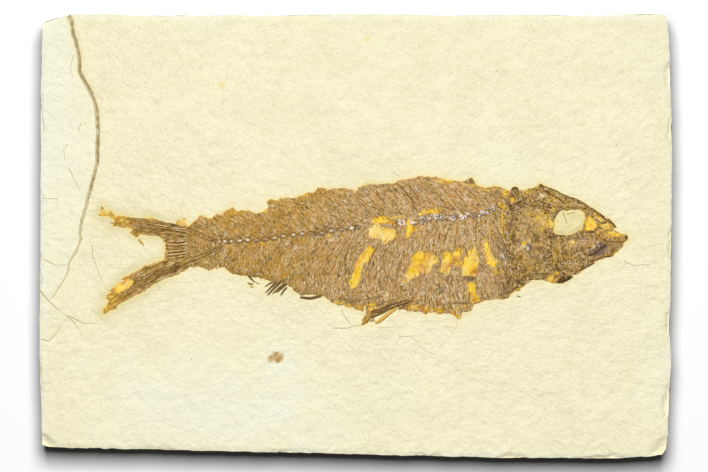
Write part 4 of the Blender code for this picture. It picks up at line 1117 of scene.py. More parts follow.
@dataclass(frozen=True)
class FilmFinish:
    """The fossil's skin and bone: brown, hatched along the ribs, orange and cream where it is flaked."""

    name: str = "fossil_skin"
    hatched: Tones = (
        (0, 108, 82, 40), (0.3, 162, 128, 70), (0.62, 204, 168, 104), (1, 240, 216, 166),
    )
    ochre: tuple = srgb(188, 146, 42)
    violet: tuple = srgb(200, 168, 144)
    dark: tuple = srgb(96, 72, 34)
    slate: tuple = srgb(96, 82, 84)
    pale: tuple = srgb(240, 220, 176)
    orange: tuple = srgb(238, 188, 36)
    rust: tuple = srgb(204, 132, 34)
    yellow: tuple = srgb(250, 212, 70)
    cream: tuple = srgb(244, 222, 150)
    fringe: tuple = srgb(208, 164, 66)
    roughness: float = 0.7

    def build(self, groups: SharedGroups) -> Material:
        """Makes the material.

        Args:
            groups: the shared shader groups.

        Returns:
            The material.
        """
        finish = Finish(self.name, groups, self.roughness)
        bench, mottle = finish.bench, finish.mottle
        hatch = bench.add("ShaderNodeGroup", {0: bench.painted("flow", "Vector")},
                          node_tree=groups.hatch).outputs
        fleck = bench.times(bench.math("SUBTRACT", mottle["Grain"], 0.5), 1.5)
        tone = bench.math("ADD", hatch["Fine"], fleck)
        color = finish.ramp(tone, self.hatched)
        patches = bench.band(bench.noise(finish.place, 0.5, 3.0, 0.6), 0.42, 0.6)
        gold = bench.times(bench.painted("ochre"), bench.math("ADD", 0.15, patches))
        color = finish.weathered(bench.blend(bench.band(gold, 0.08, 0.95), color, self.ochre))
        cool = bench.times(bench.painted("cool"), hatch["Coarse"])
        color = bench.blend(bench.times(cool, 0.75), color, self.violet)
        color = bench.blend(bench.times(hatch["Threads"], 0.5), color, self.dark)
        glints = bench.times(hatch["Glints"], bench.math("ADD", bench.painted("cool"), 0.2))
        color = bench.blend(glints, color, self.pale)
        deep = bench.blend(bench.band(bench.painted("cool"), 0.65, 1.0), self.dark, self.slate)
        color = bench.blend(bench.painted("dark"), color, deep)
        color = bench.blend(bench.painted("pale"), color, self.pale)
        stain = bench.blend(bench.band(hatch["Coarse"], 0.2, 0.62), self.orange, self.yellow)
        stain = bench.blend(bench.band(mottle["Wrinkle"], 0.5, 0.64), stain, self.rust)
        stain = bench.blend(bench.painted("cream"), stain, self.cream)
        stain = bench.blend(bench.band(tone, 0.75, 1.2), stain, self.pale)
        stain = bench.blend(bench.times(hatch["Threads"], 0.6), stain, self.rust)
        color = bench.blend(bench.painted("amber"), color, stain)
        rim = bench.blend(bench.band(mottle["Wrinkle"], 0.6, 0.46), self.rust, self.fringe)
        color = bench.blend(bench.painted("fringe"), color, rim)
        height = bench.math("ADD", hatch["Fine"], bench.times(mottle["Grain"], 0.6))
        return finish.done(color, height, 0.1)


@dataclass(frozen=True)
class TintedFinish:
    """Small pieces that each take a tone of their own from their tint.

    Args:
        name: the material's name.
        tones: places along the tint and their colours.
        roughness: the surface's roughness.
        gilding: how strongly patches of it turn golden.
    """

    name: str
    tones: Tones
    roughness: float = 0.75
    gilding: float = 0.0

    def build(self, groups: SharedGroups) -> Material:
        """Makes the material.

        Args:
            groups: the shared shader groups.

        Returns:
            The material.
        """
        finish = Finish(self.name, groups, self.roughness)
        bench, mottle = finish.bench, finish.mottle
        uneven = bench.times(bench.math("SUBTRACT", mottle["Grain"], 0.5), 0.5)
        color = finish.ramp(bench.math("ADD", bench.painted("tint"), uneven), self.tones)
        if self.gilding:
            patches = bench.band(bench.noise(finish.place, 0.5, 3.0, 0.6), 0.42, 0.6)
            rear = bench.band(bench.add("ShaderNodeSeparateXYZ", {0: finish.place}).outputs[0], 2.0, -22.0)
            share = bench.math("ADD", patches, bench.times(rear, 0.45))
            color = bench.blend(bench.times(share, self.gilding), color, FilmFinish.ochre)
            color = finish.weathered(color)
        return finish.done(color, mottle["Grain"], 0.06)


class Slot(Enum):
    """The record's material slots."""

    STONE = "limestone"
    FOSSIL = "fossil_bone"


# The stone.


@dataclass(frozen=True)
class Chip:
    """A shell-shaped scar on the slab's upper rim.

    Args:
        x, y: its middle.
        length, width: its half sizes.
        turn: its direction in degrees.
    """

    x: float
    y: float
    length: float
    width: float
    turn: float

    def floor(self, x: Array, y: Array) -> Array:
        """The scar's surface over each place, and a great height elsewhere."""
        angle = math.radians(self.turn)
        along = (x - self.x) * math.cos(angle) + (y - self.y) * math.sin(angle)
        across = (y - self.y) * math.cos(angle) - (x - self.x) * math.sin(angle)
        left = 1.0 - (along / self.length) ** 2 - (across / self.width) ** 2
        return np.where(left > 0, FACE_HEIGHT + 0.4 - 1.4 * np.sqrt(np.maximum(left, 0.0)), 99.0)


CHIPS: Sequence[Chip] = tuple(Chip(*row) for row in (
    (74.9, 38, 4.2, 2, 90), (75.4, 25, 6, 1.9, 88), (75.4, -2, 8, 1.7, 91), (75, -20, 4.8, 1.9, 88),
    (74.6, -39.5, 5.6, 2.4, 92), (73.2, -50.4, 4.2, 3, 55), (58.5, -53.4, 7.5, 1.9, 2),
    (38, -53.3, 6, 1.8, -2), (17, -53, 7, 1.8, -1), (-18, -52.2, 8, 1.8, -1), (-47, -51.6, 6, 1.8, -2),
    (-73.8, -49.4, 3.6, 2.6, -45), (67.5, 53.3, 7, 1.9, -3), (49, 53.2, 6, 1.7, 1), (21, 53.3, 5, 1.8, 3),
    (-12, 53.5, 9, 1.7, 0), (-44, 53.2, 8, 1.7, 1), (-72.4, 52.3, 4.8, 3, 32), (-75.6, 28, 8, 1.8, 90),
    (-75.8, -6, 9, 1.7, 90), (-75.8, -33, 6.5, 1.9, 92),
))


@dataclass
class Slab:
    """The limestone slab with its crack, hairlines and specks.

    Args:
        columns, rows: the face's grid.
        levels: each wall row's height and how far it is drawn in.
        broken: how rough the wall is, in millimetres.
        hollow: how deep the face sinks under the fossil.
        crack_depth: how deep the crack's groove is.
        specks: mineral specks to the square metre.
    """

    groups: SharedGroups
    columns: int = 330
    rows: int = 232
    levels: Sequence[tuple[float, float]] = (
        (9.5, 0.04), (8.7, 0.18), (7.75, 0.1), (7.45, 0.5), (7.2, 0.6), (6.2, 0.42), (5.15, 0.55),
        (4.85, 0.3), (4.6, 0.22), (3.6, 0.35), (2.6, 0.4), (2.35, 0.8), (1.1, 0.85), (0.0, 1.05),
    )
    broken: float = 0.32
    hollow: float = 0.35
    crack_depth: float = 0.26
    specks: float = 90000.0
    grain: Grain = field(default_factory=lambda: Grain(11))

    def plan(self) -> tuple[Array, Array]:
        """The face's grid, drawn between the four broken edges."""
        u, v = np.linspace(0.0, 1.0, self.columns), np.linspace(0.0, 1.0, self.rows)
        near, far = self.along(NEAR_EDGE, u, 0), self.along(FAR_EDGE, u, 0)
        left, right = self.along(LEFT_EDGE, v, 1), self.along(RIGHT_EDGE, v, 1)
        u, v = u[None, :, None], v[:, None, None]
        sides = left[:, None] * (1 - u) + right[:, None] * u
        ends = near[None] * (1 - v) + far[None] * v
        corners = (near[0] * (1 - u) + near[-1] * u) * (1 - v) + (far[0] * (1 - u) + far[-1] * u) * v
        places = sides + ends - corners
        return places[..., 0], places[..., 1]

    def along(self, points: Points, shares: Array, axis: int) -> Array:
        """Even places along an edge, roughened so that no stretch is straight.

        Args:
            points: the edge.
            shares: how far along each place is, 0 to 1.
            axis: 0 if the edge runs along x, 1 if along y.

        Returns:
            The places.
        """
        drawn = np.array(points)
        reach = travelled(drawn)
        places = np.stack([np.interp(shares * reach[-1], reach, drawn[:, i]) for i in (0, 1)], axis=1)
        calm = np.minimum(1.0, np.minimum(shares, 1 - shares) * 60)
        rough = self.grain.layered(places[:, axis], drawn[0, 1 - axis], 1.6, 2) * 0.16 - 0.12
        outward = np.sign(drawn[len(drawn) // 2, 1 - axis])
        places[:, 1 - axis] += outward * np.minimum(rough, 0.0) * calm
        return places

    def face(self, x: Array, y: Array, edge: Array) -> Array:
        """The height of the slab's face.

        Args:
            x, y: where.
            edge: the distance from the rim, in millimetres.

        Returns:
            The heights in millimetres.
        """
        grain = self.grain
        lumps = grain.layered(x, y, 2.8, 3)
        sway = grain.at(x + 40, y, 26.0)
        folds = 1.0 - np.abs(grain.layered(x - 31, y + 9, 4.2, 2)) * 2.2
        height = FACE_HEIGHT - 0.14 + 0.09 * lumps + 0.04 * sway + 0.04 * np.maximum(folds, 0.0)
        height -= 0.22 * np.exp(-((edge / 0.55) ** 2))
        for chip in CHIPS:
            scar = chip.floor(x + 0.5 * grain.at(x, y, 1.7), y + 0.5 * grain.at(y, x, 1.9))
            height = np.minimum(height, scar + 0.08 * grain.at(x, y, 0.9))
        height -= self.hollow * ease(0.0, 0.7, -outline_distance(FILM, x, y))
        height += self.hollow * ease(0.0, 0.7, -outline_distance(ORBIT, x, y))
        return height - self.crack_depth * ease(0.75, 0.1, line_distance([p[:2] for p in CRACK], x, y))

    def paint(self, x: Array, y: Array) -> dict[str, Array]:
        """The stains on the stone, and painted shade along its rim.

        Args:
            x, y: where.

        Returns:
            The painted values.
        """
        grain = self.grain
        orbit = outline_distance(ORBIT, x, y)
        film = np.where(orbit < 0, 2.0, outline_distance(FILM, x, y))
        rough = grain.layered(x, y, 1.4, 2)
        tail = ease(-40.0, -47.0, x)
        tight = np.exp(-np.maximum(film, 0.0) / 0.55) * (0.66 + 0.2 * tail + 0.45 * rough)
        wide = np.exp(-np.maximum(film, 0.0) / 1.7) * (0.2 + 0.1 * tail)
        haze = tail * ease(2.8, 0.4, film + 0.6 * rough) * 0.55 + 0.35 * ease(0.4, -0.4, orbit)
        blob = np.hypot((x + 18.9) / 1.8, (y + 28.8) / 1.5) + 0.4 * grain.layered(x, y, 0.9, 3)
        blob += 0.9 * ease(0.8, 0.2, np.hypot(x + 19.2, y + 30.2))
        smear = ease(1.5, 0.0, np.hypot((x + 24.8) / 2.2, (y + 11.7) / 0.9)) * 0.35
        crack_x = np.interp(y, [p[1] for p in CRACK][::-1], [p[0] for p in CRACK][::-1])
        beyond = ease(0.4, -0.6, x - crack_x) * ease(-16.0, -11.0, y)
        crack = line_distance([p[:2] for p in CRACK], x, y)
        bloom = ease(1.7, 0.2, crack) * ease(20.0, 45.0, y) * 0.35
        dots = np.zeros(np.shape(x))
        for dot_x, dot_y, size, strength in RUST_DOTS:
            away = np.hypot(x - dot_x, y - dot_y) / size + 0.25 * rough
            dots = np.maximum(dots, ease(1.0, 0.1, away) * strength)
        socket = ease(0.4, -0.4, orbit) * (0.35 + 0.3 * ease(-1.1, -0.2, orbit))
        rim = np.minimum(74.6 - np.abs(x), 52.3 - np.abs(y))
        corner = np.hypot((x + 32.0) / 46.0, (y + 43.0) / 19.0) + 0.25 * grain.at(x, y, 6.0)
        return {
            "halo": np.clip(np.maximum.reduce([tight, wide, smear, bloom, dots, socket]), 0.0, 1.0),
            "haze": haze,
            "stain": ease(1.1, 0.75, blob) * np.clip(0.78 + 0.5 * grain.layered(x, y, 0.7, 2), 0.4, 1.0),
            "grey": 0.35 * beyond + 0.2 * ease(0.3, 0.8, grain.at(x, y, 18.0))
            + 0.55 * ease(1.1, 0.2, corner)
            + 0.5 * ease(1.5, 0.2, rim + 0.8 * grain.layered(x, y, 4.0, 3)),
            # Painted shade: the outer half millimetre of the rim darkened in the worn tone.
            "worn": ease(0.5, 0.0, rim) * (0.2 + 0.3 * rough),
        }

    def block(self) -> Sheet:
        """The slab's whole surface: face, broken wall and underside."""
        x, y = self.plan()
        number = np.arange(x.size).reshape(x.shape)
        loop = np.concatenate([number[0, :-1], number[:-1, -1], number[-1, :0:-1], number[:0:-1, 0]])
        flat_x, flat_y = x.ravel(), y.ravel()
        rim = [(flat_x[i], flat_y[i]) for i in loop[::4]]
        edge = line_distance([*rim, rim[0]], flat_x, flat_y)
        z = self.face(flat_x, flat_y, edge)
        xs, ys, zs, quads = [flat_x], [flat_y], [z], [cells(number).reshape(-1, 4)]
        ring_x, ring_y = flat_x[loop], flat_y[loop]
        across = np.roll(ring_x, -6) - np.roll(ring_x, 6)
        up = np.roll(ring_y, -6) - np.roll(ring_y, 6)
        length = np.hypot(across, up)
        out_x, out_y = up / length, -across / length
        travel = np.cumsum(np.hypot(np.roll(ring_x, -1) - ring_x, np.roll(ring_y, -1) - ring_y))
        above, base = loop, x.size
        for level, (height, inset) in enumerate(self.levels):
            rough = self.grain.layered(travel, np.full(len(travel), height * 1.3), 5.0, 4)
            drawn = np.maximum(inset + self.broken * rough * (0.4 if level < 2 else 1.0), 0.02)
            xs.append(ring_x - out_x * drawn)
            ys.append(ring_y - out_y * drawn)
            tilt = 0.12 * self.grain.at(travel, np.full(len(travel), 7.7 + level), 3.0)
            zs.append(np.full(len(travel), height) + (tilt if height else 0.0))
            ring = np.arange(base, base + len(loop))
            quads.append(np.stack([above, ring, np.roll(ring, -1), np.roll(above, -1)], axis=1))
            above, base = ring, base + len(loop)
        xs.append([0.0])
        ys.append([0.0])
        zs.append([0.0])
        start = above[0::2]
        quads.append(np.stack([np.full(len(start), base), np.roll(start, -1), above[1::2], start], axis=1))
        sheet = Sheet(np.concatenate(xs), np.concatenate(ys), np.concatenate(zs), np.concatenate(quads))
        sheet.paint = self.paint(sheet.x, sheet.y)
        return sheet

    def crack_fill(self) -> Sheet:
        """The brown mineral in the crack, with painted shade on one side: a ribbon that is as wide as the
        crack at each point.
        """
        route = np.array(CRACK)
        reach = travelled(route)
        travel = np.arange(0.4, reach[-1], 0.25)
        x, y, width = (np.interp(travel, reach, route[:, i]) for i in range(3))
        rough = self.grain
        x = x + 0.1 * rough.layered(travel, travel * 0, 1.3, 2)
        slope_x, slope_y = np.gradient(x), np.gradient(y)
        length = np.hypot(slope_x, slope_y)
        shares = np.linspace(-1.0, 1.0, 7)
        width = width * (1.0 + 0.22 * rough.layered(travel, travel * 0 + 5, 2.0, 2)) * 0.72
        side = shares[None, :] * (1 + 0.15 * rough.at(travel, travel * 0 + 9, 0.8)[:, None])
        across = (-slope_y / length)[:, None] * side * width[:, None] * -1
        up = (slope_x / length)[:, None] * side * width[:, None] * -1
        xs, ys = x[:, None] + across, y[:, None] + up
        dip = 0.1 * (1 - np.abs(shares) ** 3)[None, :] * np.ones((len(travel), 1))
        zs = FACE_HEIGHT - 0.02 - dip + 0.03 * rough.at(xs, ys, 0.6)
        zs[:, 0] -= 0.25
        zs[:, -1] -= 0.25
        faces = cells(np.arange(xs.size).reshape(xs.shape))[..., [0, 3, 2, 1]].reshape(-1, 4)
        fade = 0.32 + 0.68 * ease(-14.0, 18.0, ys)
        # The middle takes the mineral's brown and the edges fade to the stone; the -0.22 * shares term makes
        # one side darker, which is painted shade.
        profile = 0.95 - 0.55 * shares[None, :] ** 2 - 0.22 * shares[None, :]
        tint = fade * profile + 0.34 * fade * rough.layered(xs, ys, 0.9, 3)
        sheet = Sheet(xs.ravel(), ys.ravel(), zs.ravel(), faces, {"tint": np.clip(tint, 0, 1).ravel()})
        return sheet.closed(FACE_HEIGHT - 0.6)

    def hairlines(self) -> Piece:
        """The fine cracks, as strands sunk almost to their backs."""
        strands = []
        for points, width in HAIRLINES:
            route = np.array(points)
            depth = FACE_HEIGHT - 0.07 - 0.22 * width + np.zeros(len(route))
            widths = 1.5 * width * np.linspace(1.0, 0.5, len(route))
            strands.append((np.column_stack([route, depth]), widths, 0.5))
        return strands_object("hairline_routes", strands)

    def speckled_face(self) -> Piece:
        """A coarse copy of the face for the specks to be strewn on."""
        x, y = np.meshgrid(np.arange(-72.0, 72.5, 2.0), np.arange(-48.5, 51.0, 2.0))
        faces = cells(np.arange(x.size).reshape(x.shape)).reshape(-1, 4)
        x, y = x.ravel(), y.ravel()
        strew = ease(0.5, 3.0, outline_distance(FILM, x, y)) * (0.5 + 0.5 * self.grain.at(x, y, 14.0))
        lie = np.tile([1.0, 0.0, 0.0], (x.size, 1))
        sheet = Sheet(x, y, np.full(x.shape, FACE_HEIGHT - 0.08), faces, {"strew": strew, "lie": lie})
        return sheet.to_object("speck_ground")

    def build(self, strands: StrandTree, scatter: ScatterTree) -> list[Piece]:
        """Builds and dresses the stone.

        Args:
            strands, scatter: the trees that lay the hairlines and the specks.

        Returns:
            Its pieces.
        """
        stone = StoneFinish().build(self.groups)
        slab = self.block().to_object("stone_slab", stone)
        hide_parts("limestone_slab")
        fill = TintedFinish("crack_mineral_and_shade", (
            (0, 230, 223, 188), (0.4, 212, 202, 164), (0.75, 198, 185, 143),
            (1, 160, 143, 100))).build(self.groups)
        crack = self.crack_fill().to_object("crack_fill", fill)
        hair = TintedFinish("hairline_mineral", (
            (0, 214, 207, 170), (1, 190, 182, 144))).build(self.groups)
        lines = strands.lay(self.hairlines(), "hairlines", {
            "Spacing": 0.5 * MM, "Sides": 6, "Waver": 0.35 * MM, "Finish": hair})
        dust = TintedFinish("mineral_specks", (
            (0, 104, 96, 78), (0.2, 160, 148, 116), (0.5, 206, 196, 156),
            (0.8, 238, 226, 182), (1, 220, 180, 104))).build(self.groups)
        specks = scatter.lay(self.speckled_face(), "stone_specks", {
            "Density": self.specks, "Seed": 5, "Smallest": (0.08 * MM, 0.08 * MM, 0.05 * MM),
            "Largest": (0.34 * MM, 0.24 * MM, 0.12 * MM), "Turn": 6.28, "Sink": -0.02 * MM, "Finish": dust})
        return [slab, crack, lines, specks]


# The fossil's shape.


@dataclass(frozen=True)
class Anatomy:
    """Where the backbone, spines, ribs and rays run, in millimetres.

    Args:
        lean: how far a spine leans back for each millimetre it rises.
        sweep: how far the rear ribs are swept back.
        bend: the depth over which a rib turns downwards.
        stalk: where the tail's rays come together.
        stalk_end: where the body ends and the tail begins.
    """

    lean: float = 0.85
    sweep: float = 11.0
    bend: float = 13.0
    stalk: Point = (-30.0, -1.6)
    stalk_end: float = -38.0

    def swept(self, base: Array) -> Array:
        """How far the rib at each place of the backbone is swept back."""
        return self.sweep * np.clip((30.0 - base) / 20.0, -0.1, 1.0)

    def base(self, x: Array, y: Array) -> Array:
        """The place on the backbone whose spine or rib runs through each point."""
        base = np.array(x, float)
        for _ in range(6):
            rise = y - height_on(BACKBONE, base)
            fall = self.swept(base) * (1.0 - np.exp(np.minimum(rise, 0.0) / self.bend))
            base = np.clip(x + np.where(rise > 0, self.lean * rise, fall), -60.0, 70.0)
        return base

    def flow(self, x: Array, y: Array) -> Array:
        """Coordinates across and along the ribs, and across and along the rays in the tail."""
        base = self.base(x, y)
        rise = y - height_on(BACKBONE, base)
        reach = np.hypot(x - self.stalk[0], y - self.stalk[1])
        angle = np.arctan2(y - self.stalk[1], self.stalk[0] - x)
        tail = x < self.stalk_end
        return np.column_stack([np.where(tail, angle * 16.0, base), np.where(tail, reach, rise), tail * 7.0])

    def lie(self, x: Array, y: Array) -> Array:
        """The direction of the rib, spine or ray at each point."""
        base = self.base(x, y)
        rise = y - height_on(BACKBONE, base)
        under = self.swept(base) / self.bend * np.exp(np.minimum(rise, 0) / self.bend)
        slope = np.where(rise > 0, -self.lean, under)
        tail = x < self.stalk_end
        across = np.where(tail, x - self.stalk[0], slope)
        up = np.where(tail, y - self.stalk[1], 1.0)
        length = np.hypot(across, up)
        return np.column_stack([across / length, up / length, np.zeros(len(length))])

    def spine(self, base: float, start: float, reach: float) -> Points:
        """A spine's course upwards from the backbone."""
        foot = float(height_on(BACKBONE, base))
        rises = np.linspace(start, reach, 6)
        return [(base - self.lean * rise, foot + rise) for rise in rises]

    def rib(self, base: float, start: float, reach: float) -> Points:
        """A rib's course downwards from the backbone."""
        foot = float(height_on(BACKBONE, base))
        depths = np.linspace(start, reach, 8)
        swept = float(self.swept(np.array(base)))
        return [(base - swept * (1.0 - math.exp(-depth / self.bend)), foot - depth) for depth in depths]


ANATOMY = Anatomy()


@dataclass
class Film:
    """The fossil's skin: a thin ragged film over the slab, domed along the body and fluted by the ribs.

    Args:
        step: the mesh's spacing.
        lip: how high the film's edge stands.
        body: how much higher it is inside its edge.
        dome_middle, dome_reach: the dome's middle and half sizes.
        dome_rise: the dome's height.
        flute: the height of the ridges over the ribs.
        flake: how deep the flaked windows are.
        ragged: how far the edge strays.
        under: the height of its underside.
    """

    groups: SharedGroups
    step: float = 0.27
    lip: float = 0.06
    body: float = 0.24
    dome_middle: Point = (8.0, -1.6)
    dome_reach: Point = (46.0, 12.0)
    dome_rise: float = 0.62
    flute: float = 0.11
    flake: float = 0.17
    ragged: float = 0.36
    under: float = 9.72
    box: Box = (-61.6, -20.0, 65.6, 15.2)
    grain: Grain = field(default_factory=lambda: Grain(23))

    def away(self, x: Array, y: Array) -> Array:
        """The distance from the film's ragged edge and the eye's, negative on the film."""
        rough = self.ragged * self.grain.layered(x, y, 1.0, 3)
        return np.maximum(outline_distance(FILM, x, y), -outline_distance(ORBIT, x, y)) + rough

    def level(self, x: Array, y: Array) -> Array:
        """The film's smooth height, which the bones lie on."""
        inside = -np.maximum(outline_distance(FILM, x, y), -outline_distance(ORBIT, x, y))
        across = (x - self.dome_middle[0]) / self.dome_reach[0]
        up = (y - self.dome_middle[1]) / self.dome_reach[1]
        dome = np.maximum(1.0 - across**2 - up**2, 0.0) ** 0.75
        return FACE_HEIGHT + self.lip + self.body * ease(0.0, 1.3, inside) + self.dome_rise * dome

    def flaked(self, x: Array, y: Array) -> tuple[Array, Array, Array]:
        """The flaked windows.

        Args:
            x, y: where.

        Returns:
            How flaked the skin is, how creamy the stain is, and how near the window's broken edge.
        """
        flow = ANATOMY.flow(x, y)
        rough = 0.26 * self.grain.layered(x + 5, y, 1.1, 3)
        rough = rough + 0.4 * self.grain.layered(flow[:, 0], flow[:, 1] * 0.3, 0.8, 2) - 0.05
        flaked, cream, edge = np.zeros(x.shape), np.zeros(x.shape), np.zeros(x.shape)
        for outline, tone in WINDOWS:
            away = outline_distance(outline, x, y) + rough
            mask = ease(0.16, -0.16, away)
            cream = np.where(mask > flaked, tone, cream)
            flaked = np.maximum(flaked, mask)
            edge = np.maximum(edge, ease(0.5, 0.12, np.abs(away - 0.15)))
        crumbs = self.grain.layered(x * 1.4, y, 1.5, 2) + 0.35 * self.grain.at(x, y, 9.0)
        small = ease(0.74, 0.92, crumbs)
        return np.maximum(flaked, small * 0.9), cream, edge * (1 - flaked)

    def paint(self, x: Array, y: Array) -> dict[str, Array]:
        """What the finish reads: the flow of the ribs, where each stain lies, and the painted spine shadow.

        Args:
            x, y: where.

        Returns:
            The painted values.
        """
        grain = self.grain
        inside = -self.away(x, y)
        flaked, cream, broken = self.flaked(x, y)
        body = ease(-39.5, -36.0, x) * ease(37.5, 35.0, x)
        head, tail = ease(34.0, 37.0, x), ease(-36.0, -40.0, x)
        flow = ANATOMY.flow(x, y)
        rise = flow[:, 1]
        patch = grain.layered(x, y, 7.0, 3)
        stray = 0.35 * grain.layered(x, y, 0.8, 3)
        bruise = marked(Stain.DARK, x, y, 0.5 * stray)
        back = ease(2.2, 0.4, inside) * (rise > 0) * body
        rear = ease(2.0, -20.0, x)
        ochre = 0.22 + 0.45 * rear * ease(-34.0, -30.0, x) + 0.3 * patch + 0.35 * back
        ochre = ochre + 0.6 * ease(-51.0, -56.0, x)
        cool = body * (0.12 + 0.45 * ease(-16.0, 4.0, x) + 0.4 * patch) + 0.25 * head
        edge_tone = 0.42 + 0.75 * grain.at(x + 3, y, 3.5)
        fringe = ease(0.45, 0.05, inside + 0.3 * grain.at(x, y, 0.8)) * np.clip(edge_tone, 0.0, 1.0)
        fringe = 0.6 * (1.0 - bruise) * fringe
        fringe = fringe * np.where(outline_distance(ORBIT, x, y) < 0.9, ease(52.0, 54.0, x), 1.0)
        stalk = tail * ease(-62.0, -40.0, x)
        # Painted shadow: a darker band just above the backbone, from the tail stalk to the middle of the
        # body.
        painted_spine_shadow = ease(1.4, 0.5, np.abs(rise - 0.55)) * ease(-35.0, -31.0, x) * ease(6.0, 2.0, x)
        shoulder = ease(32.4, 34.0, x) * ease(38.5, 36.0, x)
        keel = ease(1.6, 0.6, np.abs(inside - 0.8)) * (rise < -6) * ease(-8.0, 0.0, x) * ease(38.0, 32.0, x)
        rough = 0.5 + 0.7 * grain.layered(x, y, 1.1, 3)
        dark = 0.16 * stalk + 0.16 * painted_spine_shadow + 0.35 * shoulder * rough
        dark = dark + 0.2 * keel * rough + 0.45 * broken * rough
        dark += head * (0.2 + 0.6 * ease(-0.1, 0.6, grain.layered(x, y, 1.1, 3)))
        dark = np.maximum(dark, bruise)
        pale = ease(0.55, 0.95, grain.layered(x * 1.2, y * 0.8, 1.2, 3)) * (0.3 + 0.3 * body + 0.5 * head)
        pale = np.maximum(pale, marked(Stain.PALE, x, y, stray))
        amber = np.maximum(flaked, marked(Stain.AMBER, x, y, stray))
        rusty = 0.3 * head * ease(0.15, 0.6, grain.layered(x + 9, y, 1.6, 3))
        amber = np.maximum(amber, rusty) * (1 - bruise)
        return {
            "flow": flow,
            "ochre": np.clip(np.maximum(ochre, marked(Stain.OCHRE, x, y, stray)), 0.0, 1.0),
            "cool": np.clip(np.maximum(cool, marked(Stain.COOL, x, y, stray)), 0.0, 1.0),
            "dark": np.clip(dark, 0.0, 0.9),
            "pale": np.clip(pale, 0.0, 0.9),
            "amber": np.clip(amber, 0.0, 1.0),
            "cream": np.clip(cream - 0.15 + 0.5 * grain.layered(x, y, 1.6, 2), 0.0, 1.0),
            "fringe": np.clip(fringe, 0.0, 1.0),
        }

    def relief(self, x: Array, y: Array) -> Array:
        """The fine relief over the smooth film: flutes along the ribs, and roughness."""
        flow = ANATOMY.flow(x, y)
        ridge = np.cos(math.pi * flow[:, 0] / 1.05) ** 2
        body = ease(-39.5, -36.0, x) * ease(36.5, 33.5, x)
        clear = ease(0.4, 2.2, np.abs(flow[:, 1])) * body
        streak = self.grain.layered(flow[:, 0], flow[:, 1] * 0.3, 0.8, 2)
        rough = self.grain.layered(x, y, 0.9, 2)
        return self.flute * ridge * clear + 0.07 * streak * body + 0.05 * rough + 0.05 * rough * (1 - body)

    def sheet(self) -> Sheet:
        """The film as a closed sheet with its paint."""
        sheet = drawn_sheet(self.away, self.box, self.step)
        x, y = sheet.x, sheet.y
        flaked, _, broken = self.flaked(x, y)
        edge = ease(0.0, 0.4, -self.away(x, y))
        sheet.z = self.level(x, y) + self.relief(x, y) * edge - self.flake * flaked + 0.05 * broken
        sheet.paint = self.paint(x, y)
        return sheet.closed(self.under)

    def strewn_ground(self, step: float, share: Callable[[Array, Array], Array]) -> Piece:
        """A coarse copy of the film for slivers to be strewn on.

        Args:
            step: the copy's spacing.
            share: how thickly it is strewn at each place.

        Returns:
            The object.
        """
        def inner(x: Array, y: Array) -> Array:
            """The film's distance, drawn in so that nothing overhangs its edge."""
            return self.away(x, y) + 0.25

        sheet = drawn_sheet(inner, self.box, step)
        x, y = sheet.x, sheet.y
        sheet.z = self.level(x, y) - self.flake * self.flaked(x, y)[0]
        sheet.paint = {"strew": np.clip(share(x, y), 0.0, 1.5), "lie": ANATOMY.lie(x, y)}
        return sheet.to_object("sliver_ground")

    def share_of_slivers(self, x: Array, y: Array) -> Array:
        """Slivers lie thickly on the flanks, thinly on the head and tail, and not in the windows."""
        body = ease(-39.0, -34.0, x) * ease(37.0, 33.0, x)
        return (0.6 + 0.4 * body) * self.bare(x, y)

    def bare(self, x: Array, y: Array) -> Array:
        """Where slivers may lie: few in the windows and on the strongest marks."""
        share = 1.0 - 0.95 * self.flaked(x, y)[0]
        for stain, cleared in ((Stain.DARK, 0.9), (Stain.AMBER, 0.8), (Stain.PALE, 0.9)):
            share = share * (1.0 - cleared * marked(stain, x, y, 0.0 * x))
        return share

    def share_of_glints(self, x: Array, y: Array) -> Array:
        """Glints gather on the forward flank and the head."""
        body = ease(-37.0, -30.0, x)
        forward = 0.25 + 0.75 * ease(-20.0, 2.0, x)
        patch = 0.6 + 0.8 * self.grain.layered(x, y, 5.0, 2)
        spine = 2.4 * ease(1.3, 0.5, np.abs(ANATOMY.flow(x, y)[:, 1]))
        spine = spine * ease(12.0, 14.0, x) * ease(36.0, 33.0, x)
        return body * (forward * np.clip(patch, 0.0, 1.4) + spine) * self.bare(x, y)

    def share_of_crystals(self, x: Array, y: Array) -> Array:
        """White crystals fill the forward backbone."""
        return ease(0.75, 0.45, np.abs(ANATOMY.flow(x, y)[:, 1])) * ease(8.5, 11.0, x) * ease(34.5, 32.0, x)

    def share_of_grit(self, x: Array, y: Array) -> Array:
        """Grit covers the crushed skull, and is thinner on the shoulder."""
        return ease(33.0, 38.5, x) * ease(61.0, 55.0, x) * self.bare(x, y)

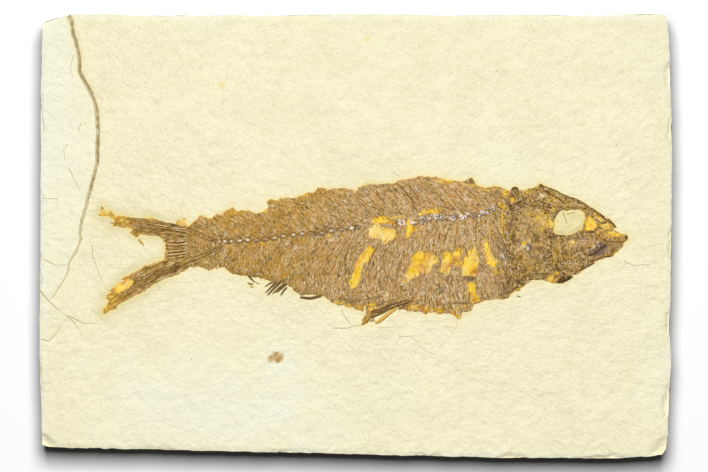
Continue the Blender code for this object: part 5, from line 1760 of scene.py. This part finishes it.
    def build(self, scatter: ScatterTree) -> list[Piece]:
        """Builds and dresses the skin.

        Args:
            scatter: the tree that strews the slivers.

        Returns:
            Its pieces.
        """
        film = self.sheet().to_object("fossil_skin", FilmFinish().build(self.groups))
        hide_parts("fossil_fish")
        scale = TintedFinish("scale_slivers", (
            (0, 82, 60, 26), (0.2, 144, 108, 48), (0.5, 196, 156, 80),
            (0.7, 220, 176, 86), (0.85, 238, 206, 152), (1, 255, 244, 208)),
            gilding=0.4).build(self.groups)
        slivers = scatter.lay(self.strewn_ground(0.8, self.share_of_slivers), "scale_slivers", {
            "Density": 3.4e6, "Seed": 31, "Smallest": (0.45 * MM, 0.13 * MM, 0.07 * MM),
            "Largest": (1.7 * MM, 0.28 * MM, 0.15 * MM), "Turn": 0.5, "Sink": 0.08 * MM, "Finish": scale})
        shine = TintedFinish("pearly_glints", (
            (0, 206, 178, 146), (0.5, 230, 208, 176), (1, 246, 234, 208)), 0.6).build(self.groups)
        glints = scatter.lay(self.strewn_ground(1.0, self.share_of_glints), "pearly_glints", {
            "Density": 1.0e6, "Seed": 57, "Smallest": (0.3 * MM, 0.1 * MM, 0.06 * MM),
            "Largest": (1.6 * MM, 0.2 * MM, 0.14 * MM), "Turn": 0.3, "Sink": 0.1 * MM, "Finish": shine})
        grit = TintedFinish("skull_grit", (
            (0, 92, 70, 34), (0.35, 126, 98, 46), (0.62, 164, 130, 66),
            (0.85, 220, 190, 130), (1, 222, 178, 84))).build(self.groups)
        crumbs = scatter.lay(self.strewn_ground(0.7, self.share_of_grit), "skull_grit", {
            "Density": 3.6e6, "Seed": 83, "Smallest": (0.22 * MM, 0.18 * MM, 0.12 * MM),
            "Largest": (0.8 * MM, 0.34 * MM, 0.28 * MM), "Turn": 6.28, "Sink": 0.16 * MM, "Finish": grit})
        crystal = TintedFinish("backbone_crystals", (
            (0, 140, 116, 96), (0.3, 202, 184, 168), (0.65, 238, 224, 210),
            (1, 250, 240, 228)), 0.6).build(self.groups)
        crystals = scatter.lay(self.strewn_ground(0.4, self.share_of_crystals), "backbone_crystals", {
            "Density": 2.2e6, "Seed": 12, "Smallest": (0.5 * MM, 0.34 * MM, 0.22 * MM),
            "Largest": (1.4 * MM, 0.8 * MM, 0.4 * MM), "Turn": 6.28, "Sink": 0.26 * MM,
            "Finish": crystal})
        return [film, slivers, glints, crumbs, crystals]


# Bones and rays.

BEADS: Points = (
    (-32.3, -1.3), (-31, -1.25), (-29.5, -1.2), (-27.5, -1.1), (-25.6, -0.9), (-23.5, -0.9), (-21.5, -0.7),
    (-19.2, -0.4), (-17.2, 0.1), (-14.8, 0.3), (-12.7, 0.6), (-10.6, 0.6), (-8, 0.7), (-5.8, 1.3),
    (-3.4, 1.5), (-1, 1.9), (0.8, 2.1), (7.5, 2.5), (10.2, 3), (13.7, 3.2), (17.5, 4.2), (19.5, 4.35),
    (21.5, 4.5), (23.5, 4.7), (25.5, 4.7), (28, 5.1), (30.5, 5.6), (32.5, 6.1),
)


@dataclass
class Skeleton:
    """The backbone's beads, and the spines and ribs that run from it.

    Args:
        first, last, pitch: where the ribs start and end along the backbone, and their spacing.
        bead_length: a vertebra's length.
    """

    groups: SharedGroups
    film: Film
    first: float = -35.5
    last: float = 33.0
    pitch: float = 0.7
    bead_length: float = 0.98
    grain: Grain = field(default_factory=lambda: Grain(41))

    def vertebra(self) -> Piece:
        """One vertebra: a bead that narrows to its ends, 12 sides round."""
        profile = ((-0.5, 0.0), (-0.5, 0.14), (-0.38, 0.28), (-0.18, 0.42), (0.0, 0.46),
                   (0.18, 0.42), (0.38, 0.28), (0.5, 0.14), (0.5, 0.0))
        sides = 12
        points, faces = [], []
        for along, radius in profile[1:-1]:
            for turn in range(sides):
                angle = 2 * math.pi * turn / sides
                points.append((along * self.bead_length, radius * math.cos(angle), radius * math.sin(angle)))
        rings = len(profile) - 2
        for ring in range(rings - 1):
            for turn in range(sides):
                a, b = ring * sides + turn, ring * sides + (turn + 1) % sides
                faces.append((a, b, b + sides, a + sides))
        faces.append(tuple(reversed(range(sides))))
        faces.append(tuple(range((rings - 1) * sides, rings * sides)))
        mesh = bpy.data.meshes.new("vertebra")
        mesh.from_pydata([tuple(value * MM for value in point) for point in points], [], faces)
        return placed("vertebra", mesh)

    def bead_line(self) -> Piece:
        """The vertebrae's places, turns and sizes, as points."""
        x, y = np.array(BEADS).T
        z = self.film.level(x, y) + 0.06
        turn = np.arctan2(np.gradient(y), np.gradient(x))
        gap = np.where(x < 1.5, 1.06, 0.8) * (1.0 - 0.2 * (x < -28.0))
        size = gap * (1.0 + 0.28 * self.grain.at(x * 3, y, 1.0))
        mesh = bpy.data.meshes.new("bead_line")
        mesh.from_pydata(list(np.column_stack([x, y, z]) * MM), [], [])
        paint_mesh(mesh, {"turn": turn, "size": np.column_stack([size, size, 0.62 * size])})
        return placed("bead_line", mesh)

    def on_film(self, route: Points, lift: float) -> Array:
        """A route's points raised onto the film."""
        x, y = np.array(route, float).T
        return np.column_stack([x, y, self.film.level(x, y) + lift])

    def within(self, route: Points, margin: float) -> list[Point]:
        """A route cut off where it comes near the film's edge or an opened window."""
        x, y = np.array(route, float).T
        inside = (self.film.away(x, y) < -margin) & (self.film.flaked(x, y)[0] < 0.5)
        kept = []
        for point, ok in zip(route, inside):
            if not ok:
                break
            kept.append(point)
        return kept

    def ribs(self) -> Piece:
        """The spines and ribs, with finer ones between."""
        random = np.random.default_rng(7)
        strands = []
        for number, base in enumerate(np.arange(self.first, self.last, self.pitch)):
            main = number % 3 == 0
            width = (0.26 if main else 0.16) * random.uniform(0.8, 1.2) * (1.25 if base > 8 else 1.0)
            base = float(base) + random.uniform(-0.12, 0.12)
            up = 3.8 + 6.4 * math.exp(-(((base - 14.0) / 26.0) ** 2))
            down = 4.6 + 12.4 * math.exp(-(((base - 17.0) / 25.0) ** 2))
            start = 0.7 if main else random.uniform(0.9, 3.5)
            for course, reach in ((ANATOMY.spine, up), (ANATOMY.rib, down)):
                first = start + reach * random.uniform(0.0, 0.45)
                route = self.within(course(base, first, reach * random.uniform(0.6, 1.05)), 0.5)
                if len(route) > 2:
                    widths = width * np.linspace(1.0, 0.5, len(route))
                    tints = random.uniform(0.0, 1.0) + random.uniform(-0.3, 0.3, len(route))
                    strands.append((self.on_film(route, 0.05), widths, tints))
        return strands_object("rib_routes", strands)

    def cords(self) -> Piece:
        """The dark scalloped lines over and under the vertebrae."""
        strands = []
        for rise, width in ((0.56, 0.2), (-0.52, 0.15)):
            for (x0, y0), (x1, y1) in zip(BEADS, BEADS[1:]):
                if 0.5 < x0 < 13.0:
                    continue
                crossed = x0 > 13.0
                dip = rise * (0.0 if crossed else -0.25)
                end = rise * (-1.2 if crossed else 1.0)
                route = [(x0, y0 + rise), (x0 * 0.7 + x1 * 0.3, y0 * 0.7 + y1 * 0.3 + rise * 0.75),
                         (x0 * 0.5 + x1 * 0.5, y0 * 0.5 + y1 * 0.5 + dip),
                         (x0 * 0.3 + x1 * 0.7, y0 * 0.3 + y1 * 0.7 + end * 0.75), (x1, y1 + end)]
                strands.append((self.on_film(route, 0.1), width * (0.8 if crossed else 1.0), 0.42))
        return strands_object("cord_routes", strands)

    def build(self, strands: StrandTree, beads: BeadTree) -> list[Piece]:
        """Builds and dresses the backbone and ribs.

        Args:
            strands, beads: the trees that lay them.

        Returns:
            Their pieces.
        """
        pearl = TintedFinish("vertebra_bone", (
            (0, 142, 114, 76), (0.35, 190, 164, 130), (0.8, 242, 228, 206),
            (1, 206, 178, 124))).build(self.groups)
        piece = self.vertebra()
        row = beads.lay(self.bead_line(), "vertebrae", {"Piece": piece, "Seed": 3, "Finish": pearl})
        bpy.data.objects.remove(piece)
        bone = TintedFinish("rib_bone", (
            (0, 116, 88, 44), (0.3, 156, 122, 64), (0.6, 196, 156, 88),
            (1, 226, 198, 156))).build(self.groups)
        ribs = strands.lay(self.ribs(), "ribs_and_spines", {
            "Spacing": 0.6 * MM, "Sides": 6, "Waver": 0.3 * MM, "Finish": bone})
        dark = dark_bone(self.groups)
        cords = strands.lay(self.cords(), "backbone_cords", {
            "Spacing": 0.3 * MM, "Sides": 6, "Waver": 0.12 * MM, "Finish": dark})
        return [row, ribs, cords]


def dark_bone(groups: SharedGroups) -> Material:
    """The near-black to dark brown bone of rays, splinters and seams."""
    made = bpy.data.materials.get("dark_bone")
    if made:
        return made
    return TintedFinish("dark_bone", (
        (0, 74, 56, 34), (0.3, 112, 86, 48), (0.65, 164, 128, 68),
        (1, 222, 178, 84))).build(groups)


@dataclass(frozen=True)
class Fan:
    """A fan of fin rays between two drawn ones.

    Args:
        first, last: the outer rays.
        count: how many rays it has.
        width: each ray's width.
        tint: how light its bone is.
        contrast: how much lighter and darker its rays are by turns.
    """

    first: Points
    last: Points
    count: int
    width: float
    tint: float
    contrast: float = 0.0


FANS: Sequence[Fan] = (
    Fan(((-39, 2), (-47, 3.6), (-57.6, 4.9)),
        ((-38.6, -0.6), (-45.6, 0.2), (-53.6, 1.4)), 12, 0.19, 0.45),
    Fan(((-39.8, -1.1), (-42.4, -1.2), (-45.1, -1.1)),
        ((-39.8, -4.4), (-42.4, -4.9), (-45.1, -5.2)), 11, 0.26, 0.55, 0.26),
    Fan(((-38.6, -4.2), (-47, -6.4), (-55.4, -10.2)),
        ((-39.6, -7.4), (-49, -11.7), (-59.4, -17.8)), 17, 0.19, 0.45),
    Fan(((-30.9, -1.6), (-35, -3), (-40.2, -4.6)),
        ((-30.2, -2.3), (-34.2, -4.7), (-38.8, -7.1)), 4, 0.21, 0.12),
    Fan(((-32.5, -1), (-35.6, 0.2), (-39.5, 2)),
        ((-32.6, -1.4), (-35.8, -0.6), (-39, 0.8)), 3, 0.2, 0.2),
)


@dataclass
class Fins:
    """The tail's rays, the fins' splinters, and the seams between bones."""

    groups: SharedGroups
    film: Film

    def raised(self, route: Points, lift: float) -> Array:
        """A route's points on the film, or on the stone beyond its edge."""
        x, y = np.array(route, float).T
        on_film = ease(0.5, -0.3, outline_distance(FILM, x, y))
        level = self.film.level(x, y) * on_film + (FACE_HEIGHT - 0.06) * (1 - on_film)
        return np.column_stack([x, y, level + lift])

    def rays(self) -> Piece:
        """The tail's rays."""
        random = np.random.default_rng(19)
        strands = []
        for fan in FANS:
            for number in range(fan.count):
                share = number / (fan.count - 1)
                route = []
                for start, end in zip(fan.first, fan.last):
                    ahead = end[0] - start[0], end[1] - start[1]
                    route.append((start[0] + ahead[0] * share, start[1] + ahead[1] * share))
                fine = bent(route, 24)[random.integers(0, 4):24 - random.integers(0, 4)]
                open_skin = self.film.flaked(*np.array(fine).T)[0]
                widths = fan.width * np.linspace(1.05, 0.7, len(fine)) * random.uniform(0.8, 1.2)
                worn = ease(-51.0, -56.0, np.array(fine)[:, 0])
                widths = widths * (1.0 - 0.95 * open_skin) * (1.0 - 0.7 * worn)
                tints = fan.tint + random.uniform(-0.3, 0.3) + random.uniform(-0.45, 0.45, len(fine))
                tints += fan.contrast * (-1) ** number
                strands.append((self.raised(fine, 0.06), widths, tints))
        return strands_object("ray_routes", strands)

    def splinters(self) -> Piece:
        """The loose splinters round the fins and along the belly."""
        strands = []
        for route, width, darkness in SPLINTERS:
            fine = bent(route, 7)
            widths = 1.25 * width * np.array([0.7, 1.05, 1.15, 1.15, 1.05, 0.85, 0.5])
            strands.append((self.raised(fine, 0.04), widths, 0.9 - 0.6 * darkness))
        return strands_object("splinter_routes", strands)

    def seams(self) -> Piece:
        """The dark seams of the skull and shoulder, sunk into the bone."""
        strands = []
        for route, width, darkness in SEAMS:
            fine = bent(route, 3 * len(route))
            strands.append((self.raised(fine, 0.06), width, 0.7 - 0.7 * darkness))
        return strands_object("seam_routes", strands)

    def build(self, strands: StrandTree) -> list[Piece]:
        """Builds and dresses the rays, splinters and seams.

        Args:
            strands: the tree that thickens them.

        Returns:
            The pieces.
        """
        dark = dark_bone(self.groups)
        ray = TintedFinish("ray_bone", (
            (0, 92, 70, 36), (0.35, 142, 110, 56), (0.6, 184, 146, 78),
            (0.85, 218, 186, 128), (1, 236, 214, 170))).build(self.groups)
        settings = {"Spacing": 0.5 * MM, "Sides": 6, "Waver": 0.2 * MM, "Finish": dark}
        return [
            strands.lay(self.rays(), "tail_rays", {**settings, "Finish": ray}),
            strands.lay(self.splinters(), "fin_splinters", settings),
            strands.lay(self.seams(), "bone_seams", {**settings, "Spacing": 0.35 * MM, "Waver": 0.4 * MM}),
        ]


def bent(route: Points, count: int) -> list[Point]:
    """A smooth course through drawn points.

    Args:
        route: the drawn points.
        count: how many points the course has.

    Returns:
        The course.
    """
    drawn = np.array(route, float)
    if len(drawn) < 3:
        return [tuple(point) for point in np.linspace(drawn[0], drawn[-1], count)]
    padded = np.vstack([2 * drawn[0] - drawn[1], drawn, 2 * drawn[-1] - drawn[-2]])
    course = []
    for place in np.linspace(0, len(drawn) - 1.0001, count):
        i, t = int(place), place % 1.0
        a, b, c, d = padded[i:i + 4]
        square, cube = 2 * a - 5 * b + 4 * c - d, 3 * b - a - 3 * c + d
        point = 0.5 * (2 * b + (c - a) * t + square * t**2 + cube * t**3)
        course.append(tuple(point))
    return course


@dataclass
class Skull:
    """The raised plates of the skull and shoulder.

    Args:
        step: the mesh's spacing.
        ragged: how far an edge strays.
    """

    groups: SharedGroups
    film: Film
    step: float = 0.17
    ragged: float = 0.42
    grain: Grain = field(default_factory=lambda: Grain(67))

    def plate(self, bone: Bone) -> Sheet:
        """One plate, crowned and rough, with its paint.

        Args:
            bone: the plate's outline and look.

        Returns:
            The closed sheet.
        """
        grain = self.grain

        def away(x: Array, y: Array) -> Array:
            """The distance from the bone's roughened outline."""
            return outline_distance(bone.outline, x, y) + self.ragged * grain.layered(x, y, 1.2, 3)

        drawn = np.array(bone.outline)
        low, high = drawn.min(axis=0) - 0.6, drawn.max(axis=0) + 0.6
        sheet = drawn_sheet(away, (low[0], low[1], high[0], high[1]), self.step)
        x, y = sheet.x, sheet.y
        inside = -away(x, y)
        lumps = grain.layered(x, y, 1.7, 3)
        grooves = grain.layered(x * 0.6 + y * 0.5, y * 1.8 - x * 0.9, 1.2, 2)
        crown = ease(0.0, 1.5, inside)
        level = self.film.level(x, y)
        sheet.z = level + 0.03 + crown * (bone.rise * 0.45 + 0.14 * lumps + 0.07 * grooves)
        stray = 0.35 * grain.layered(x, y, 0.8, 3)
        dark = bone.dark * (0.1 + 0.9 * ease(-0.2, 0.7, grain.layered(x, y, 1.0, 3)))
        bruise = marked(Stain.DARK, x, y, 0.5 * stray)
        light = marked(Stain.PALE, x, y, stray)
        pale = 0.6 * ease(0.4, 0.9, grain.layered(x + 3, y, 0.9, 3)) * (1.0 - bruise)
        amber = 0.8 * ease(0.15, 0.7, grain.layered(x - 8, y, 2.0, 3) + 0.5 * bone.ochre - 0.3)
        amber = amber * (1.0 - bruise) * (1.0 - light)
        sheet.paint = {
            "flow": np.column_stack([x * 0.9 + y * 0.6, y * 0.9 - x * 0.6, x * 0 + 3.0]),
            "ochre": np.clip(bone.ochre + 0.4 * grain.at(x, y, 2.6), 0, 1),
            "cool": np.clip(np.maximum(0.1 + 0.5 * grain.layered(x, y, 2.2, 2),
                                       marked(Stain.COOL, x, y, stray)), 0, 1),
            "dark": np.clip(np.maximum(dark, bruise), 0, 0.9),
            "pale": np.clip(np.maximum(pale, light), 0, 0.9),
            "amber": np.clip(np.maximum(amber, marked(Stain.AMBER, x, y, stray)), 0, 1),
            "cream": np.clip(0.25 + 0.4 * grain.at(x, y, 1.2), 0, 1),
            "fringe": np.zeros(x.shape),
        }
        return sheet.closed(level - 0.25)

    def build(self) -> list[Piece]:
        """Builds and dresses the plates as one piece."""
        plates = [self.plate(bone) for bone in SKULL]
        counts = np.cumsum([0] + [len(plate.x) for plate in plates])
        whole = Sheet(
            *(np.concatenate([getattr(plate, axis) for plate in plates]) for axis in "xyz"),
            np.concatenate([plate.faces + count for plate, count in zip(plates, counts)]),
            {name: np.concatenate([plate.paint[name] for plate in plates]) for name in plates[0].paint},
        )
        finish = FilmFinish("skull_bone")
        return [whole.to_object("skull_plates", finish.build(self.groups))]


# The studio.


@dataclass(frozen=True)
class Studio:
    """Camera, lights and floor for a view from straight above.

    Args:
        width: the view's width at the slab's face, in millimetres.
        centre: what the view is centred on.
        lens: the focal length on a 36 mm wide sensor.
        soft_size: the overhead light's width and depth, in metres.
        soft_place: where the overhead light hangs, in metres.
        soft_tilt: how far it leans over, in radians.
        soft_power: its power in watts.
        ambient: the room's light.
    """

    width: float = 167.6
    centre: Point = (-0.43, 0.07)
    lens: float = 800.0
    soft_size: tuple[float, float] = (0.36, 0.52)
    soft_place: tuple[float, float, float] = (0.0, 0.235, 0.85)
    soft_tilt: float = 0.85
    soft_power: float = 10.3
    ambient: float = 0.022

    def camera(self) -> None:
        """Hangs the camera over the slab."""
        lens = bpy.data.cameras.new("overhead")
        lens.lens, lens.sensor_width = self.lens, 36.0
        lens.clip_start, lens.clip_end = 0.01, 10.0
        made = placed("overhead", lens)
        away = self.width * self.lens / 36.0
        made.location = (self.centre[0] * MM, self.centre[1] * MM, (FACE_HEIGHT + away) * MM)
        bpy.context.scene.camera = made

    def lights(self) -> None:
        """Hangs one large soft light and fills the room a little."""
        soft = bpy.data.lights.new("softbox", "AREA")
        soft.shape, soft.size, soft.size_y = "RECTANGLE", *self.soft_size
        soft.energy = self.soft_power
        made = placed("softbox", soft)
        made.location = self.soft_place
        made.rotation_euler = (-self.soft_tilt, 0.0, 0.0)
        world = bpy.data.worlds.new("room")
        world.use_nodes = True
        world.node_tree.nodes["Background"].inputs[0].default_value = (1.0, 1.0, 1.0, 1.0)
        world.node_tree.nodes["Background"].inputs[1].default_value = self.ambient
        bpy.context.scene.world = world
        bpy.context.scene.view_settings.view_transform = "Standard"

    def floor(self) -> None:
        """Lays the white floor."""
        mesh = bpy.data.meshes.new("floor")
        half = 1.5
        mesh.from_pydata([(-half, -half, 0), (half, -half, 0), (half, half, 0), (-half, half, 0)], [],
                         [(0, 1, 2, 3)])
        material = bpy.data.materials.new("white_floor")
        material.use_nodes = True
        bench = Bench(material.node_tree)
        shader = material.node_tree.nodes["Principled BSDF"]
        seen = bench.add("ShaderNodeLightPath").outputs["Is Camera Ray"]
        white, dull = (0.95, 0.95, 0.95, 1.0), (0.08, 0.08, 0.08, 1.0)
        bench.tree.links.new(bench.blend(seen, dull, white), shader.inputs["Base Color"])
        shader.inputs["Roughness"].default_value = 0.9
        shader.inputs["Specular IOR Level"].default_value = 0.0
        mesh.materials.append(material)
        made = placed("floor", mesh)

    def build(self) -> None:
        """Sets the studio up."""
        self.camera()
        self.lights()
        self.floor()


def dress(name: str, pieces: Sequence[Piece]) -> None:
    """Fixes pieces to the slab's frame and logs them.

    Args:
        name: the sub-assembly.
        pieces: its pieces.
    """
    for piece in pieces:
        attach(piece, BODY)
        triangles = sum(len(polygon.vertices) - 2 for polygon in piece.data.polygons)
        log.info("%s: %s, %d triangles", name, piece.name, triangles)


def main() -> None:
    """Builds the slab and its fossil piece by piece, then the studio."""
    logging.basicConfig(level=logging.INFO, format="%(message)s")
    groups = SharedGroups.build()
    strands, scatter, beads = StrandTree(), ScatterTree(), BeadTree()
    film = Film(groups)
    dress("stone", Slab(groups).build(strands, scatter))
    dress("skin", film.build(scatter))
    dress("skull", Skull(groups, film).build())
    dress("skeleton", Skeleton(groups, film).build(strands, beads))
    dress("fins", Fins(groups, film).build(strands))
    Studio().build()
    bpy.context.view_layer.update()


if __name__ == "__main__":
    main()
